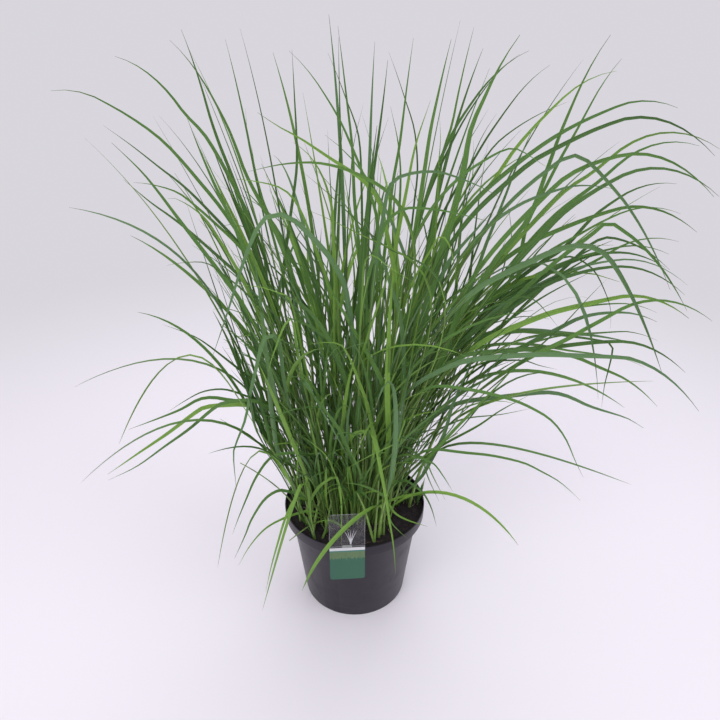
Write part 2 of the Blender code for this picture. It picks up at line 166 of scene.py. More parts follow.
# The point that a leaf's arch bends towards, its tip, its width, and its green where the photograph shows
# it. Eleven rows keep points that a scratch script fitted to pixels read from the photograph: right_back
# low, inner_left low, inner_right low, front_right low and mid, all of front_left, left_front top, and
# right low and mid
LEAVES = {
    "left": {
        "low": ((-0.165, -0.030, 0.505), (-0.390, -0.025, 0.380), 0.0070, MID),
        "mid": ((-0.225, 0.035, 0.590), (-0.340, 0.045, 0.700), 0.0070),
        "top": ((-0.175, -0.020, 0.600), (-0.335, -0.045, 0.632), 0.0070, BLUISH_SHEEN),
    },
    "left_front": {
        "low": ((-0.185, -0.075, 0.455), (-0.392, -0.065, 0.245), 0.0070, MID),
        "mid": ((-0.180, -0.018, 0.470), (-0.286, -0.020, 0.490), 0.0045, MID),
        "top": ((-0.190, -0.078, 0.575), (-0.318, -0.080, 0.322), 0.0058, FRESH_LIT),
    },
    "left_back": {
        "low": ((-0.225, 0.105, 0.510), (-0.338, 0.135, 0.553), 0.0066, MID),
        "mid": ((-0.175, 0.120, 0.620), (-0.275, 0.150, 0.720), 0.0066),
        "top": ((-0.140, 0.100, 0.660), (-0.215, 0.125, 0.800), 0.0066),
    },
    "back_left": {
        "low": ((-0.125, 0.240, 0.500), (-0.190, 0.320, 0.380), 0.0070),
        "mid": ((-0.085, 0.200, 0.640), (-0.135, 0.285, 0.650), 0.0066),
        "top": ((-0.070, 0.160, 0.660), (-0.115, 0.195, 0.800), 0.0066),
    },
    "back": {
        "low": ((0.005, 0.270, 0.480), (0.010, 0.360, 0.320), 0.0072),
        "mid": ((0.040, 0.230, 0.620), (0.060, 0.330, 0.600), 0.0066),
        "top": ((0.020, 0.180, 0.660), (0.030, 0.225, 0.815), 0.0066),
    },
    "back_right": {
        "low": ((0.170, 0.230, 0.480), (0.235, 0.310, 0.340), 0.0070),
        "mid": ((0.150, 0.190, 0.600), (0.225, 0.265, 0.640), 0.0066),
        "top": ((0.120, 0.145, 0.660), (0.180, 0.180, 0.805), 0.0066),
    },
    "right_back": {
        "low": ((0.220, 0.010, 0.460), (0.407, 0.020, 0.320), 0.0066, MID),
        "mid": ((0.220, 0.080, 0.590), (0.365, 0.110, 0.690), 0.0070, MID),
        "top": ((0.180, 0.068, 0.640), (0.290, 0.085, 0.790), 0.0070),
    },
    "right": {
        "low": ((0.125, -0.020, 0.340), (0.412, -0.040, 0.223), 0.0072, MID),
        "mid": ((0.190, -0.045, 0.400), (0.405, -0.045, 0.400), 0.0088, FRESH_LIT),
        "top": ((0.215, -0.015, 0.560), (0.375, -0.010, 0.650), 0.0070),
    },
    "inner_left": {
        "low": ((-0.100, -0.125, 0.540), (-0.005, -0.140, 0.340), 0.0058, BLUISH_SHEEN),
        "mid": ((-0.115, -0.020, 0.620), (-0.170, -0.035, 0.780), 0.0066),
        "top": ((-0.085, -0.010, 0.660), (-0.125, 0.000, 0.820), 0.0066),
    },
    "inner_back": {
        "low": ((-0.045, 0.095, 0.620), (-0.070, 0.140, 0.750), 0.0066),
        "mid": ((0.030, 0.085, 0.640), (0.045, 0.120, 0.790), 0.0066),
        "top": ((-0.012, 0.075, 0.680), (-0.030, 0.090, 0.840), 0.0066),
    },
    "inner_right": {
        "low": ((0.270, -0.010, 0.750), (0.310, -0.100, 0.403), 0.0058, BLUISH_SHEEN),
        "mid": ((0.110, 0.050, 0.620), (0.170, 0.070, 0.780), 0.0066),
        "top": ((0.090, 0.036, 0.660), (0.125, 0.038, 0.830), 0.0070),
    },
    "centre": {
        "low": ((0.012, -0.130, 0.480), (0.006, -0.200, 0.430), 0.0072),
        "mid": ((-0.035, -0.130, 0.560), (-0.075, -0.230, 0.590), 0.0070),
        "top": ((0.010, -0.090, 0.600), (0.025, -0.140, 0.730), 0.0070),
    },
    "front_right": {
        "low": ((0.135, -0.110, 0.320), (0.230, -0.120, 0.180), 0.0048, FRESH_LIT),
        "mid": ((-0.040, -0.150, 0.230), (-0.072, -0.150, 0.125), 0.0066, FRESH_LIT),
        "top": ((0.052, -0.150, 0.530), (0.027, -0.160, 0.426), 0.0056, BLUISH_SHEEN),
    },
    "front_left": {
        "low": ((-0.040, -0.110, 0.415), (-0.128, -0.160, 0.098), 0.0064, FRESH_LIT),
        "mid": ((-0.125, -0.080, 0.465), (-0.195, -0.120, 0.138), 0.0050, FRESH_LIT),
        "top": ((-0.075, -0.120, 0.380), (-0.174, -0.160, 0.362), 0.0045, DEEP_SHADED),
    },
}

# Leaves that the photograph shows one by one, by region. Each row holds the leaf's green, how far back
# its tip lies, its width in millimetres, how many pixels it runs on past the photograph's edge, and then
# the pixels that its midrib passes through, read off and listed from its tip inwards. The widths and the
# pixels to run on were typed in, and scratch scripts then scaled the widths and lengthened the runs by
# rules
SEEN_LEAVES = {
    "upper left": (
        (MID, -0.02, 4.7, 56, (97, 98), (132, 118), (166, 144), (203, 186), (223, 211), (248, 248)),
        (DEEP_SHADED, 0.05, 4.8, 0, (103, 125), (131, 145), (159, 167), (188, 190), (228, 231)),
        (MID, -0.05, 5.5, 0, (111, 142), (140, 170), (159, 193), (180, 221), (211, 261), (227, 282)),
        (DEEP_SHADED, 0.08, 4.8, 0, (123, 179), (149, 201), (170, 216), (188, 230), (228, 265)),
        (MID, 0.03, 4.4, 0, (133, 182), (151, 184), (177, 192), (198, 208), (227, 234)),
        (FRESH_LIT, -0.08, 4.4, 0, (167, 198), (175, 198), (193, 208), (207, 221), (220, 241)),
        (DEEP_SHADED, -0.10, 2.3, 0, (166, 265), (185, 262), (207, 263), (228, 278)),
        (MID, 0.02, 5.1, 75, (172, 97), (185, 114), (203, 133), (217, 155), (228, 175)),
        (MID, -0.04, 5.5, 0, (186, 116), (199, 149), (214, 184), (227, 211)),
        (DEEP_SHADED, 0.06, 4.7, 75, (204, 97), (210, 118), (219, 144), (227, 164)),
        (MID, -0.03, 6.0, 75, (212, 97), (227, 126), (237, 151), (246, 175), (265, 211)),
        (MID, 0.05, 5.1, 60, (239, 97), (246, 129), (252, 159), (262, 200), (285, 250), (295, 265)),
        (FRESH_LIT, -0.08, 4.1, 0, (228, 178), (256, 181), (283, 189), (300, 210), (320, 262)),
        (DEEP_SHADED, -0.02, 2.2, 0, (245, 108), (247, 135), (252, 160), (258, 190)),
        (DEEP_SHADED, 0.00, 3.7, 0, (270, 182), (285, 212), (300, 250), (310, 275)),
        (FRESH_LIT, -0.03, 5.2, 0, (200, 149), (212, 173), (223, 196), (236, 222), (250, 252)),
        (DEEP_SHADED, 0.02, 4.6, 0, (209, 140), (221, 170), (232, 197), (244, 226), (258, 262)),
        (MID, 0.00, 4.6, 0, (228, 164), (234, 190), (243, 215), (255, 250)),
        (MID, 0.03, 4.0, 0, (251, 145), (255, 170), (262, 198), (272, 234)),
        (DEEP_SHADED, -0.02, 3.6, 0, (219, 150), (229, 184), (240, 212), (251, 242)),
    ),
    "upper middle": (
        (
            FRESH_LIT, -0.12, 5.3, 0, (257, 112), (278, 126), (300, 138), (330, 158), (360, 178), (378, 200),
            (388, 240),
        ),
        (DEEP_SHADED, 0.08, 4.5, 50, (294, 97), (296, 136), (296, 170), (290, 215), (284, 260)),
        (MID, -0.15, 4.0, 0, (248, 171), (280, 164), (312, 162), (340, 167), (360, 175)),
        (FRESH_LIT, -0.10, 4.3, 0, (293, 142), (308, 154), (322, 176), (331, 205), (332, 225)),
        (DEEP_SHADED, 0.04, 3.8, 70, (339, 97), (340, 150), (338, 220), (335, 275)),
        (MID, -0.02, 4.5, 75, (346, 97), (352, 150), (354, 200), (360, 260)),
        (DEEP_SHADED, 0.06, 3.5, 48, (345, 97), (358, 135), (361, 185), (362, 260)),
        (MID, -0.06, 4.5, 60, (326, 97), (342, 125), (365, 180), (376, 215), (378, 240)),
        (DEEP_SHADED, 0.02, 2.2, 0, (327, 130), (330, 185), (334, 235)),
        (MID, 0.00, 2.2, 0, (362, 115), (372, 155), (376, 230)),
        (DEEP_SHADED, 0.03, 2.2, 0, (363, 103), (353, 145), (350, 180)),
        (MID, -0.03, 4.4, 0, (390, 106), (398, 145), (400, 185), (396, 245)),
        (DEEP_SHADED, 0.05, 2.2, 0, (388, 117), (376, 155), (372, 190)),
        (MID, 0.01, 4.5, 60, (405, 97), (399, 145), (392, 185), (386, 235)),
        (DEEP_SHADED, 0.07, 2.8, 48, (404, 97), (414, 130), (417, 170), (414, 200)),
        (FRESH_LIT, -0.05, 4.8, 0, (430, 100), (415, 145), (406, 190), (402, 210)),
        (DEEP_SHADED, -0.12, 2.2, 0, (303, 172), (330, 195), (358, 222), (385, 246), (412, 258)),
        (MID, -0.10, 2.2, 0, (309, 162), (330, 185), (352, 215), (365, 240)),
        (FRESH_LIT, -0.12, 2.3, 0, (303, 208), (325, 217), (360, 234), (395, 250)),
        (DEEP_SHADED, 0.02, 2.6, 0, (298, 178), (311, 212), (315, 232), (322, 262)),
        (MID, 0.04, 2.6, 0, (265, 243), (295, 262), (310, 272), (330, 300)),
        (MID, -0.04, 2.6, 0, (287, 204), (306, 230), (315, 245), (326, 275)),
        (
            BLUISH_SHEEN, -0.14, 6.9, 0, (211, 359), (226, 315), (240, 270), (255, 231), (265, 217), (277, 214),
            (290, 217), (310, 235), (330, 258), (344, 285), (350, 320),
        ),
        (
            BLUISH_SHEEN, -0.16, 4.6, 0, (500, 197), (475, 184), (445, 173), (427, 171), (410, 173), (398, 177),
            (388, 188), (383, 215),
        ),
        (MID, -0.17, 4.0, 0, (492, 222), (465, 215), (435, 209), (405, 208), (387, 220), (382, 232)),
    ),
    "upper right": (
        (MID, 0.05, 4.7, 75, (457, 97), (451, 126), (442, 155), (436, 200), (433, 225)),
        (DEEP_SHADED, 0.00, 4.7, 75, (475, 97), (458, 122), (447, 143), (433, 175), (425, 200)),
        (DEEP_SHADED, 0.04, 3.5, 60, (478, 97), (462, 122), (445, 155), (436, 175)),
        (
            MID, -0.06, 10.5, 75, (484, 97), (470, 130), (463, 170), (452, 215), (438, 262), (428, 300),
            (420, 330),
        ),
        (DEEP_SHADED, 0.10, 3.5, 48, (515, 97), (501, 116), (486, 138), (471, 163), (457, 186)),
        (
            FRESH_LIT, 0.03, 6.0, 60, (563, 97), (535, 125), (512, 152), (488, 187), (455, 220), (440, 250),
            (432, 265),
        ),
        (MID, -0.05, 7.3, 75, (575, 97), (559, 135), (547, 168), (528, 218), (498, 255), (475, 290)),
        (MID, 0.06, 5.4, 50, (594, 97), (575, 132), (560, 158), (545, 187), (527, 222), (523, 240)),
        (BLUISH_SHEEN, -0.04, 4.8, 0, (535, 122), (517, 163), (505, 195), (487, 240), (480, 260)),
        (DEEP_SHADED, 0.08, 3.0, 0, (568, 101), (540, 113), (512, 130), (490, 150), (465, 190)),
        (MID, 0.00, 5.8, 60, (619, 105), (580, 122), (550, 139), (522, 159), (496, 180)),
        (DEEP_SHADED, -0.07, 5.9, 108, (619, 120), (590, 131), (555, 148), (529, 163), (494, 193)),
        (FRESH_LIT, -0.03, 5.5, 108, (619, 150), (592, 172), (565, 190), (538, 217)),
        (MID, -0.09, 5.9, 108, (620, 155), (590, 164), (565, 177), (545, 195), (518, 222)),
        (MID, 0.02, 5.9, 108, (620, 162), (597, 182), (560, 210), (535, 235), (525, 247)),
        (DEEP_SHADED, -0.08, 7.4, 108, (620, 176), (590, 193), (562, 213), (538, 238)),
        (DEEP_SHADED, 0.04, 5.9, 108, (619, 197), (593, 216), (565, 246), (542, 261)),
        (MID, -0.02, 6.3, 108, (619, 208), (593, 216), (569, 225), (545, 235)),
        (MID, -0.06, 5.2, 108, (619, 228), (607, 222), (590, 235), (575, 246)),
        (DEEP_SHADED, 0.03, 4.8, 108, (619, 239), (606, 237), (590, 244), (570, 262)),
        (MID, -0.08, 4.4, 0, (545, 166), (522, 151), (511, 148), (500, 151), (487, 158)),
        (BLUISH_SHEEN, -0.10, 4.6, 108, (619, 195), (597, 170), (580, 156), (565, 157), (552, 166)),
        (BLUISH_SHEEN, -0.10, 4.3, 0, (615, 189), (600, 186), (585, 185), (570, 186), (552, 191)),
        (MID, 0.00, 5.8, 70, (437, 97), (430, 130), (424, 170), (421, 190)),
        (BLUISH_SHEEN, -0.05, 6.3, 0, (497, 205), (475, 230), (452, 256), (445, 268)),
        (DEEP_SHADED, 0.02, 5.5, 108, (620, 252), (600, 253), (580, 258), (550, 270)),
        (DEEP_SHADED, 0.06, 2.2, 0, (507, 200), (511, 230), (510, 240), (505, 260)),
        (DEEP_SHADED, 0.07, 2.2, 0, (473, 140), (473, 155), (472, 175), (466, 200)),
        (DEEP_SHADED, 0.08, 2.2, 0, (488, 108), (478, 125), (468, 142), (460, 165)),
        (DEEP_SHADED, 0.02, 2.6, 0, (496, 113), (485, 130), (475, 150), (466, 175)),
        (FRESH_LIT, 0.00, 2.6, 0, (439, 115), (440, 140), (438, 165), (437, 200)),
        (MID, -0.02, 2.2, 0, (490, 228), (478, 240), (462, 255), (450, 275)),
    ),
    "left": (
        (DEEP_SHADED, 0.00, 4.1, 0, (162, 324), (182, 331), (201, 340), (230, 362), (255, 382), (285, 408)),
        (FRESH_LIT, -0.01, 6.3, 0, (107, 474), (136, 454), (167, 433), (195, 412), (208, 406), (236, 404)),
        (
            MID, -0.07, 5.5, 0, (107, 480), (136, 466), (164, 446), (188, 429), (208, 412), (221, 403),
            (238, 400),
        ),
        (
            MID, 0.02, 5.5, 0, (128, 429), (155, 419), (180, 409), (198, 399), (213, 397), (233, 400),
            (265, 402),
        ),
        (DEEP_SHADED, 0.04, 3.3, 0, (168, 411), (185, 400), (203, 391), (225, 389), (250, 397)),
        (
            BLUISH_SHEEN, -0.14, 5.3, 0, (236, 490), (233, 453), (238, 437), (245, 418), (250, 392), (256, 366),
            (261, 345), (266, 335), (272, 334), (279, 342), (282, 370),
        ),
        (MID, 0.00, 4.1, 0, (219, 418), (242, 432), (265, 447), (278, 456)),
    ),
    "middle": (
        (
            FRESH_LIT, -0.14, 4.0, 0, (267, 378), (270, 362), (276, 345), (281, 331), (286, 322), (292, 320),
            (296, 345),
        ),
        (MID, -0.13, 5.3, 0, (300, 380), (310, 391), (320, 404), (330, 417), (340, 432), (350, 455)),
        (
            FRESH_LIT, -0.15, 4.6, 0, (306, 344), (322, 342), (338, 343), (345, 350), (352, 364), (358, 380),
            (367, 405), (372, 430),
        ),
        (
            FRESH_LIT, -0.14, 7.6, 0, (393, 262), (391, 290), (389, 320), (388, 345), (387, 372), (387, 400),
            (388, 430),
        ),
        (
            MID, -0.12, 6.3, 0, (318, 262), (330, 288), (345, 315), (358, 338), (370, 358), (383, 385),
            (390, 410),
        ),
        (
            BLUISH_SHEEN, -0.11, 6.3, 0, (360, 212), (372, 238), (383, 262), (391, 288), (397, 305), (401, 325),
            (403, 350),
        ),
        (FRESH_LIT, -0.15, 2.2, 0, (421, 286), (402, 275), (385, 264), (372, 254), (364, 262), (362, 290)),
        (
            FRESH_LIT, -0.12, 3.3, 0, (228, 284), (245, 285), (262, 287), (277, 292), (287, 296), (293, 310),
            (302, 352),
        ),
        (FRESH_LIT, -0.08, 3.7, 0, (424, 290), (418, 318), (413, 345), (408, 380)),
        (BLUISH_SHEEN, -0.09, 6.9, 0, (252, 250), (258, 285), (262, 320), (266, 355), (274, 395)),
        (MID, -0.05, 6.7, 0, (324, 230), (331, 262), (336, 300), (340, 340), (345, 380)),
        (MID, -0.10, 5.0, 0, (366, 262), (366, 300), (367, 340), (370, 390)),
        (DEEP_SHADED, -0.08, 7.4, 0, (290, 300), (297, 335), (304, 370), (312, 410), (320, 445)),
        (BLUISH_SHEEN, -0.12, 4.6, 0, (412, 350), (408, 375), (404, 395), (400, 420), (396, 450)),
        (BLUISH_SHEEN, -0.11, 4.3, 0, (352, 380), (350, 400), (347, 420), (346, 450)),
        (
            MID, -0.13, 3.6, 0, (363, 439), (355, 435), (347, 434), (344, 438), (348, 448), (359, 470),
            (361, 485),
        ),
        (FRESH_LIT, -0.15, 2.2, 0, (340, 473), (355, 463), (372, 454), (387, 447), (397, 441), (401, 430)),
        (FRESH_LIT, -0.13, 2.2, 0, (298, 433), (312, 443), (326, 456), (333, 470), (338, 482)),
        (FRESH_LIT, -0.13, 2.2, 0, (296, 435), (297, 450), (297, 465), (296, 480)),
        (MID, -0.11, 3.6, 0, (342, 482), (358, 484), (372, 489), (384, 496)),
    ),
    "right": (
        (
            BLUISH_SHEEN, -0.09, 7.9, 108, (620, 275), (612, 262), (600, 250), (584, 245), (565, 247),
            (545, 254), (500, 275),
        ),
        (
            DEEP_SHADED, -0.05, 3.0, 0, (610, 328), (610, 308), (604, 290), (595, 272), (584, 262), (570, 256),
            (550, 260),
        ),
        (DEEP_SHADED, 0.03, 7.4, 0, (585, 250), (565, 262), (548, 272), (530, 283), (512, 294), (490, 312)),
        (MID, 0.00, 5.5, 108, (620, 246), (590, 263), (555, 278), (525, 296)),
        (DEEP_SHADED, -0.04, 5.2, 108, (620, 266), (598, 268), (570, 275), (545, 285), (515, 305)),
        (FRESH_LIT, -0.05, 8.1, 108, (622, 296), (598, 301), (576, 306), (552, 312), (530, 320), (505, 330)),
        (MID, 0.04, 3.3, 108, (622, 303), (600, 304), (578, 307), (560, 311)),
        (BLUISH_SHEEN, 0.03, 6.7, 108, (622, 312), (599, 313), (578, 318), (560, 327), (540, 337)),
        (MID, -0.09, 5.6, 108, (622, 308), (606, 317), (584, 329), (568, 338), (545, 349)),
        (MID, 0.00, 4.8, 108, (622, 331), (587, 333), (550, 333), (511, 330)),
        (BLUISH_SHEEN, 0.06, 7.8, 108, (622, 340), (593, 335), (568, 333), (530, 330), (495, 333), (460, 343)),
        (DEEP_SHADED, -0.07, 6.3, 108, (622, 341), (593, 342), (557, 346), (522, 349), (480, 352)),
        (BLUISH_SHEEN, -0.12, 6.9, 108, (622, 357), (575, 355), (539, 354), (491, 357), (459, 362), (430, 375)),
        (MID, 0.04, 5.9, 108, (622, 358), (599, 354), (568, 350), (532, 344), (495, 344), (460, 352)),
        (MID, -0.03, 5.5, 108, (620, 376), (597, 366), (576, 357), (550, 351), (520, 349)),
        (
            BLUISH_SHEEN, -0.02, 6.7, 108, (622, 416), (590, 406), (568, 396), (550, 392), (529, 393),
            (504, 396), (470, 400),
        ),
        (
            MID, -0.13, 5.0, 0, (583, 477), (575, 461), (565, 438), (551, 420), (532, 408), (511, 399),
            (480, 391), (448, 386),
        ),
        (
            DEEP_SHADED, -0.08, 3.7, 0, (601, 407), (604, 385), (609, 365), (612, 350), (610, 343), (593, 339),
            (565, 335),
        ),
        (DEEP_SHADED, 0.05, 3.7, 0, (557, 369), (539, 365), (523, 360), (500, 360)),
        (DEEP_SHADED, -0.08, 5.2, 0, (523, 356), (505, 366), (485, 379), (465, 390), (440, 408)),
        (MID, -0.10, 4.6, 0, (523, 357), (500, 382), (478, 405), (455, 428), (435, 450)),
        (MID, -0.06, 4.4, 0, (530, 394), (500, 410), (478, 425), (450, 440)),
        (BLUISH_SHEEN, -0.09, 6.3, 0, (475, 350), (465, 375), (452, 405), (443, 435), (425, 470)),
        (MID, 0.03, 5.2, 0, (462, 362), (455, 380), (440, 420), (428, 450)),
        (MID, -0.05, 7.8, 0, (486, 240), (476, 268), (460, 305), (447, 345), (435, 375)),
        (DEEP_SHADED, 0.02, 5.9, 0, (505, 240), (487, 280), (470, 310), (455, 345)),
        (DEEP_SHADED, 0.05, 5.2, 0, (500, 255), (463, 287), (440, 307), (420, 330)),
        (FRESH_LIT, -0.06, 3.0, 0, (459, 293), (454, 265), (449, 245), (440, 235), (430, 250)),
        (DEEP_SHADED, -0.07, 2.6, 0, (558, 327), (546, 312), (537, 302), (525, 296), (510, 300)),
        (DEEP_SHADED, -0.08, 2.2, 0, (606, 279), (592, 293), (578, 308), (562, 325), (540, 345)),
        (DEEP_SHADED, -0.02, 7.0, 0, (612, 240), (586, 251), (561, 265), (536, 281), (505, 302)),
        (DEEP_SHADED, -0.03, 7.5, 0, (600, 250), (575, 265), (550, 280), (520, 297), (490, 318)),
        (BLUISH_SHEEN, -0.03, 5.0, 108, (622, 259), (600, 262), (575, 268), (550, 278), (520, 294)),
        (MID, 0.02, 4.6, 108, (622, 246), (600, 251), (575, 258), (545, 270), (515, 285)),
        (MID, 0.03, 4.0, 108, (622, 212), (600, 222), (575, 236), (550, 250), (520, 272)),
        (MID, -0.02, 3.6, 0, (592, 271), (565, 284), (540, 298), (515, 315), (490, 332)),
        (MID, -0.03, 2.6, 0, (530, 408), (500, 414), (465, 418), (440, 428)),
    ),
    "lower left": (
        (MID, -0.11, 4.0, 0, (232, 534), (237, 520), (246, 498), (256, 476), (272, 456), (296, 452)),
        (MID, -0.15, 4.3, 0, (234, 558), (245, 534), (251, 519), (264, 499), (278, 490), (288, 491)),
        (FRESH_LIT, -0.16, 3.6, 0, (238, 565), (249, 546), (265, 528), (285, 517), (300, 512)),
        (FRESH_LIT, -0.165, 4.3, 0, (265, 592), (271, 565), (278, 540), (284, 520), (291, 504)),
        (FRESH_LIT, -0.12, 3.3, 0, (314, 525), (319, 521), (330, 520), (342, 526), (352, 532)),
        (
            FRESH_LIT, -0.125, 4.0, 0, (341, 545), (341, 525), (341, 505), (339, 488), (336, 477), (328, 479),
            (318, 487), (311, 498), (306, 510),
        ),
    ),
    "lower right": (
        (
            MID, -0.14, 4.3, 0, (580, 500), (560, 482), (539, 470), (522, 462), (491, 455), (463, 452),
            (440, 449),
        ),
        (MID, -0.12, 3.3, 0, (453, 492), (443, 476), (434, 464), (426, 460)),
        (DEEP_SHADED, -0.13, 3.3, 0, (436, 526), (431, 508), (423, 493), (412, 484)),
        (DEEP_SHADED, -0.11, 2.6, 0, (439, 502), (428, 478), (422, 460), (414, 452)),
        (MID, -0.10, 2.6, 0, (445, 500), (432, 475), (424, 458), (412, 455)),
        (
            FRESH_LIT, -0.15, 5.6, 0, (395, 574), (394, 556), (392, 538), (389, 521), (386, 500), (380, 468),
            (375, 442), (370, 431), (365, 431),
        ),
        (FRESH_LIT, -0.12, 3.3, 0, (427, 526), (408, 520), (395, 513), (388, 503)),
        (MID, -0.12, 2.6, 0, (407, 538), (399, 531), (391, 522), (386, 508)),
        (FRESH_LIT, -0.11, 3.6, 0, (428, 491), (410, 494), (395, 498), (382, 504)),
    ),
}

# Stems that stand free of the others at the front, from the soil upwards, in pixels
SEEN_STEMS = (
    ((374, 541), (371, 533), (364, 509), (356, 491)),
    ((374, 541), (375, 526), (377, 504), (378, 480)),
    ((383, 534), (384, 510), (386, 478)),
    ((380, 534), (381, 519), (383, 490)),
    ((322, 537), (326, 526), (331, 500)),
    ((312, 530), (309, 515), (303, 492)),
    ((313, 530), (316, 512), (322, 488)),
    ((396, 505), (398, 485), (403, 460)),
    ((300, 520), (297, 500), (290, 475)),
)

# Where small new shoots come out of the soil, in pixels
SPROUTS = (
    (397, 506), (402, 503), (407, 502), (411, 499), (416, 503), (419, 498),
    (311, 531), (306, 524), (327, 534),
)

# The clump's outline in the photograph, in pixels, past which no unseen leaf reaches
OUTLINE = (
    (300, 520), (286, 492), (270, 468), (256, 440), (246, 415), (234, 385), (222, 350), (212, 310),
    (200, 270), (186, 230), (166, 180), (152, 130), (150, 70), (200, 30), (350, 18), (500, 18),
    (600, 36), (650, 100), (655, 200), (655, 300), (640, 365), (600, 392), (548, 400), (496, 412),
    (462, 436), (438, 466), (424, 500), (398, 530), (372, 545), (338, 541),
)
SEED = 27

# How the lines of leaves and stems are drawn
CAD_LEAF_POINTS = 22
SEEN_LEAF_POINTS = 28
CULM_POINTS = 15
CULM_JOINTS = [4, 8, 12]
SPROUT_BLADES = 4
BLADE_FOLD = 0.38
BLADE_WALL = 0.08
BLADE_SHARP_ANGLE = math.radians(60)
BLADE_FULLNESS = 2.1
SHOWN_FULLNESS = 3.4
SHOWN_WIDENING = 1.15

# How near grown leaves may come to the CAD's box, the pot and the ground
BOX_MARGIN = 0.004
POT_CLEAR_RADIUS = 0.122
POT_CLEAR_HEIGHT = 0.164
GROUND_CLEARANCE = 0.05

# How far tips that the photograph's edge cuts off may stand out of the CAD's box
TIP_ROOM = 0.022
CARRY_STEP = 12
DROOP = 0.16


# Shader sums and nodes


class Value:
    """A shader socket that takes part in Python sums: each operator adds a Math node."""

    def __init__(self, finish, socket):
        self.finish = finish
        self.socket = socket

    def sum(self, operation, *others, clamp=False):
        math_node = self.finish.add("ShaderNodeMath", operation=operation, use_clamp=clamp)
        for slot, value in zip(math_node.inputs, (self, *others)):
            self.finish.feed(slot, value)
        return Value(self.finish, math_node.outputs[0])

    def __add__(self, other):
        return self.sum("ADD", other)

    def __mul__(self, other):
        return self.sum("MULTIPLY", other)

    def __sub__(self, other):
        return self.sum("SUBTRACT", other)

    def __truediv__(self, other):
        return self.sum("DIVIDE", other)

    def __pow__(self, other):
        return self.sum("POWER", other)

    def __rsub__(self, other):
        return self * -1.0 + other

    __radd__ = __add__
    __rmul__ = __mul__

    def above(self, level):
        return self.sum("GREATER_THAN", level)

    def step(self, start, end):
        """0 before start, 1 after end and smooth between them."""
        ramp = self.finish.add("ShaderNodeMapRange", interpolation_type="SMOOTHSTEP", clamp=True)
        for name, value in (("Value", self), ("From Min", start), ("From Max", end)):
            self.finish.feed(ramp.inputs[name], value)
        return Value(self.finish, ramp.outputs[0])


class Finish:
    """One surface finish: a material with a Principled shader, and the nodes that vary it."""

    def __init__(self, name, roughness, **fixed):
        self.material = bpy.data.materials.new(name)
        self.material.use_nodes = True
        self.tree = self.material.node_tree
        self.shader = self.tree.nodes["Principled BSDF"]
        self.shader.inputs["Roughness"].default_value = roughness
        for socket, value in fixed.items():
            self.shader.inputs[socket.replace("_", " ")].default_value = value
        self.place = self.node("ShaderNodeTexCoord", "Object")

    def add(self, kind, **settings):
        made = self.tree.nodes.new(kind)
        for name, value in settings.items():
            setattr(made, name, value)
        return made

    def feed(self, socket, value):
        if isinstance(value, Value):
            self.tree.links.new(value.socket, socket)
        else:
            socket.default_value = value

    def node(self, kind, output, settings=None, **inputs):
        """Adds any node: its settings first, then its sockets, and returns one of its outputs."""
        made = self.add(kind, **(settings or {}))
        for name, value in inputs.items():
            self.feed(made.inputs[name.replace("_", " ")], value)
        return Value(self, made.outputs[output])

    def attribute(self, name):
        return self.node("ShaderNodeAttribute", "Fac", {"attribute_name": name})

    def speckle(self, scale, detail=2.0, roughness=0.5, place=None):
        where = place or self.place
        return self.node(
            "ShaderNodeTexNoise", "Fac", Vector=where, Scale=scale, Detail=detail, Roughness=roughness
        )

    def stretched(self, x, y, z):
        """Object coordinates stretched along each axis."""
        return self.node("ShaderNodeMapping", "Vector", Vector=self.place, Scale=(x, y, z))

    def blend(self, mask, first, second):
        """The first color where the mask is 0, and the second where it is 1."""
        mixer = self.add("ShaderNodeMix", data_type="RGBA", clamp_factor=True)
        self.feed(mixer.inputs[0], mask)
        for slot, color in ((6, first), (7, second)):
            self.feed(mixer.inputs[slot], color if isinstance(color, Value) else (*color, 1.0))
        return Value(self, mixer.outputs[2])

    def color(self, value):
        self.feed(self.shader.inputs["Base Color"], value)

    def roughness(self, value):
        self.feed(self.shader.inputs["Roughness"], value)

    def relief(self, height, depth, strength=1.0):
        """Raises the surface by height, in metres when it is 1."""
        bump = self.add("ShaderNodeBump")
        bump.inputs["Strength"].default_value = strength
        bump.inputs["Distance"].default_value = depth
        self.feed(bump.inputs["Height"], height)
        self.tree.links.new(bump.outputs[0], self.shader.inputs["Normal"])


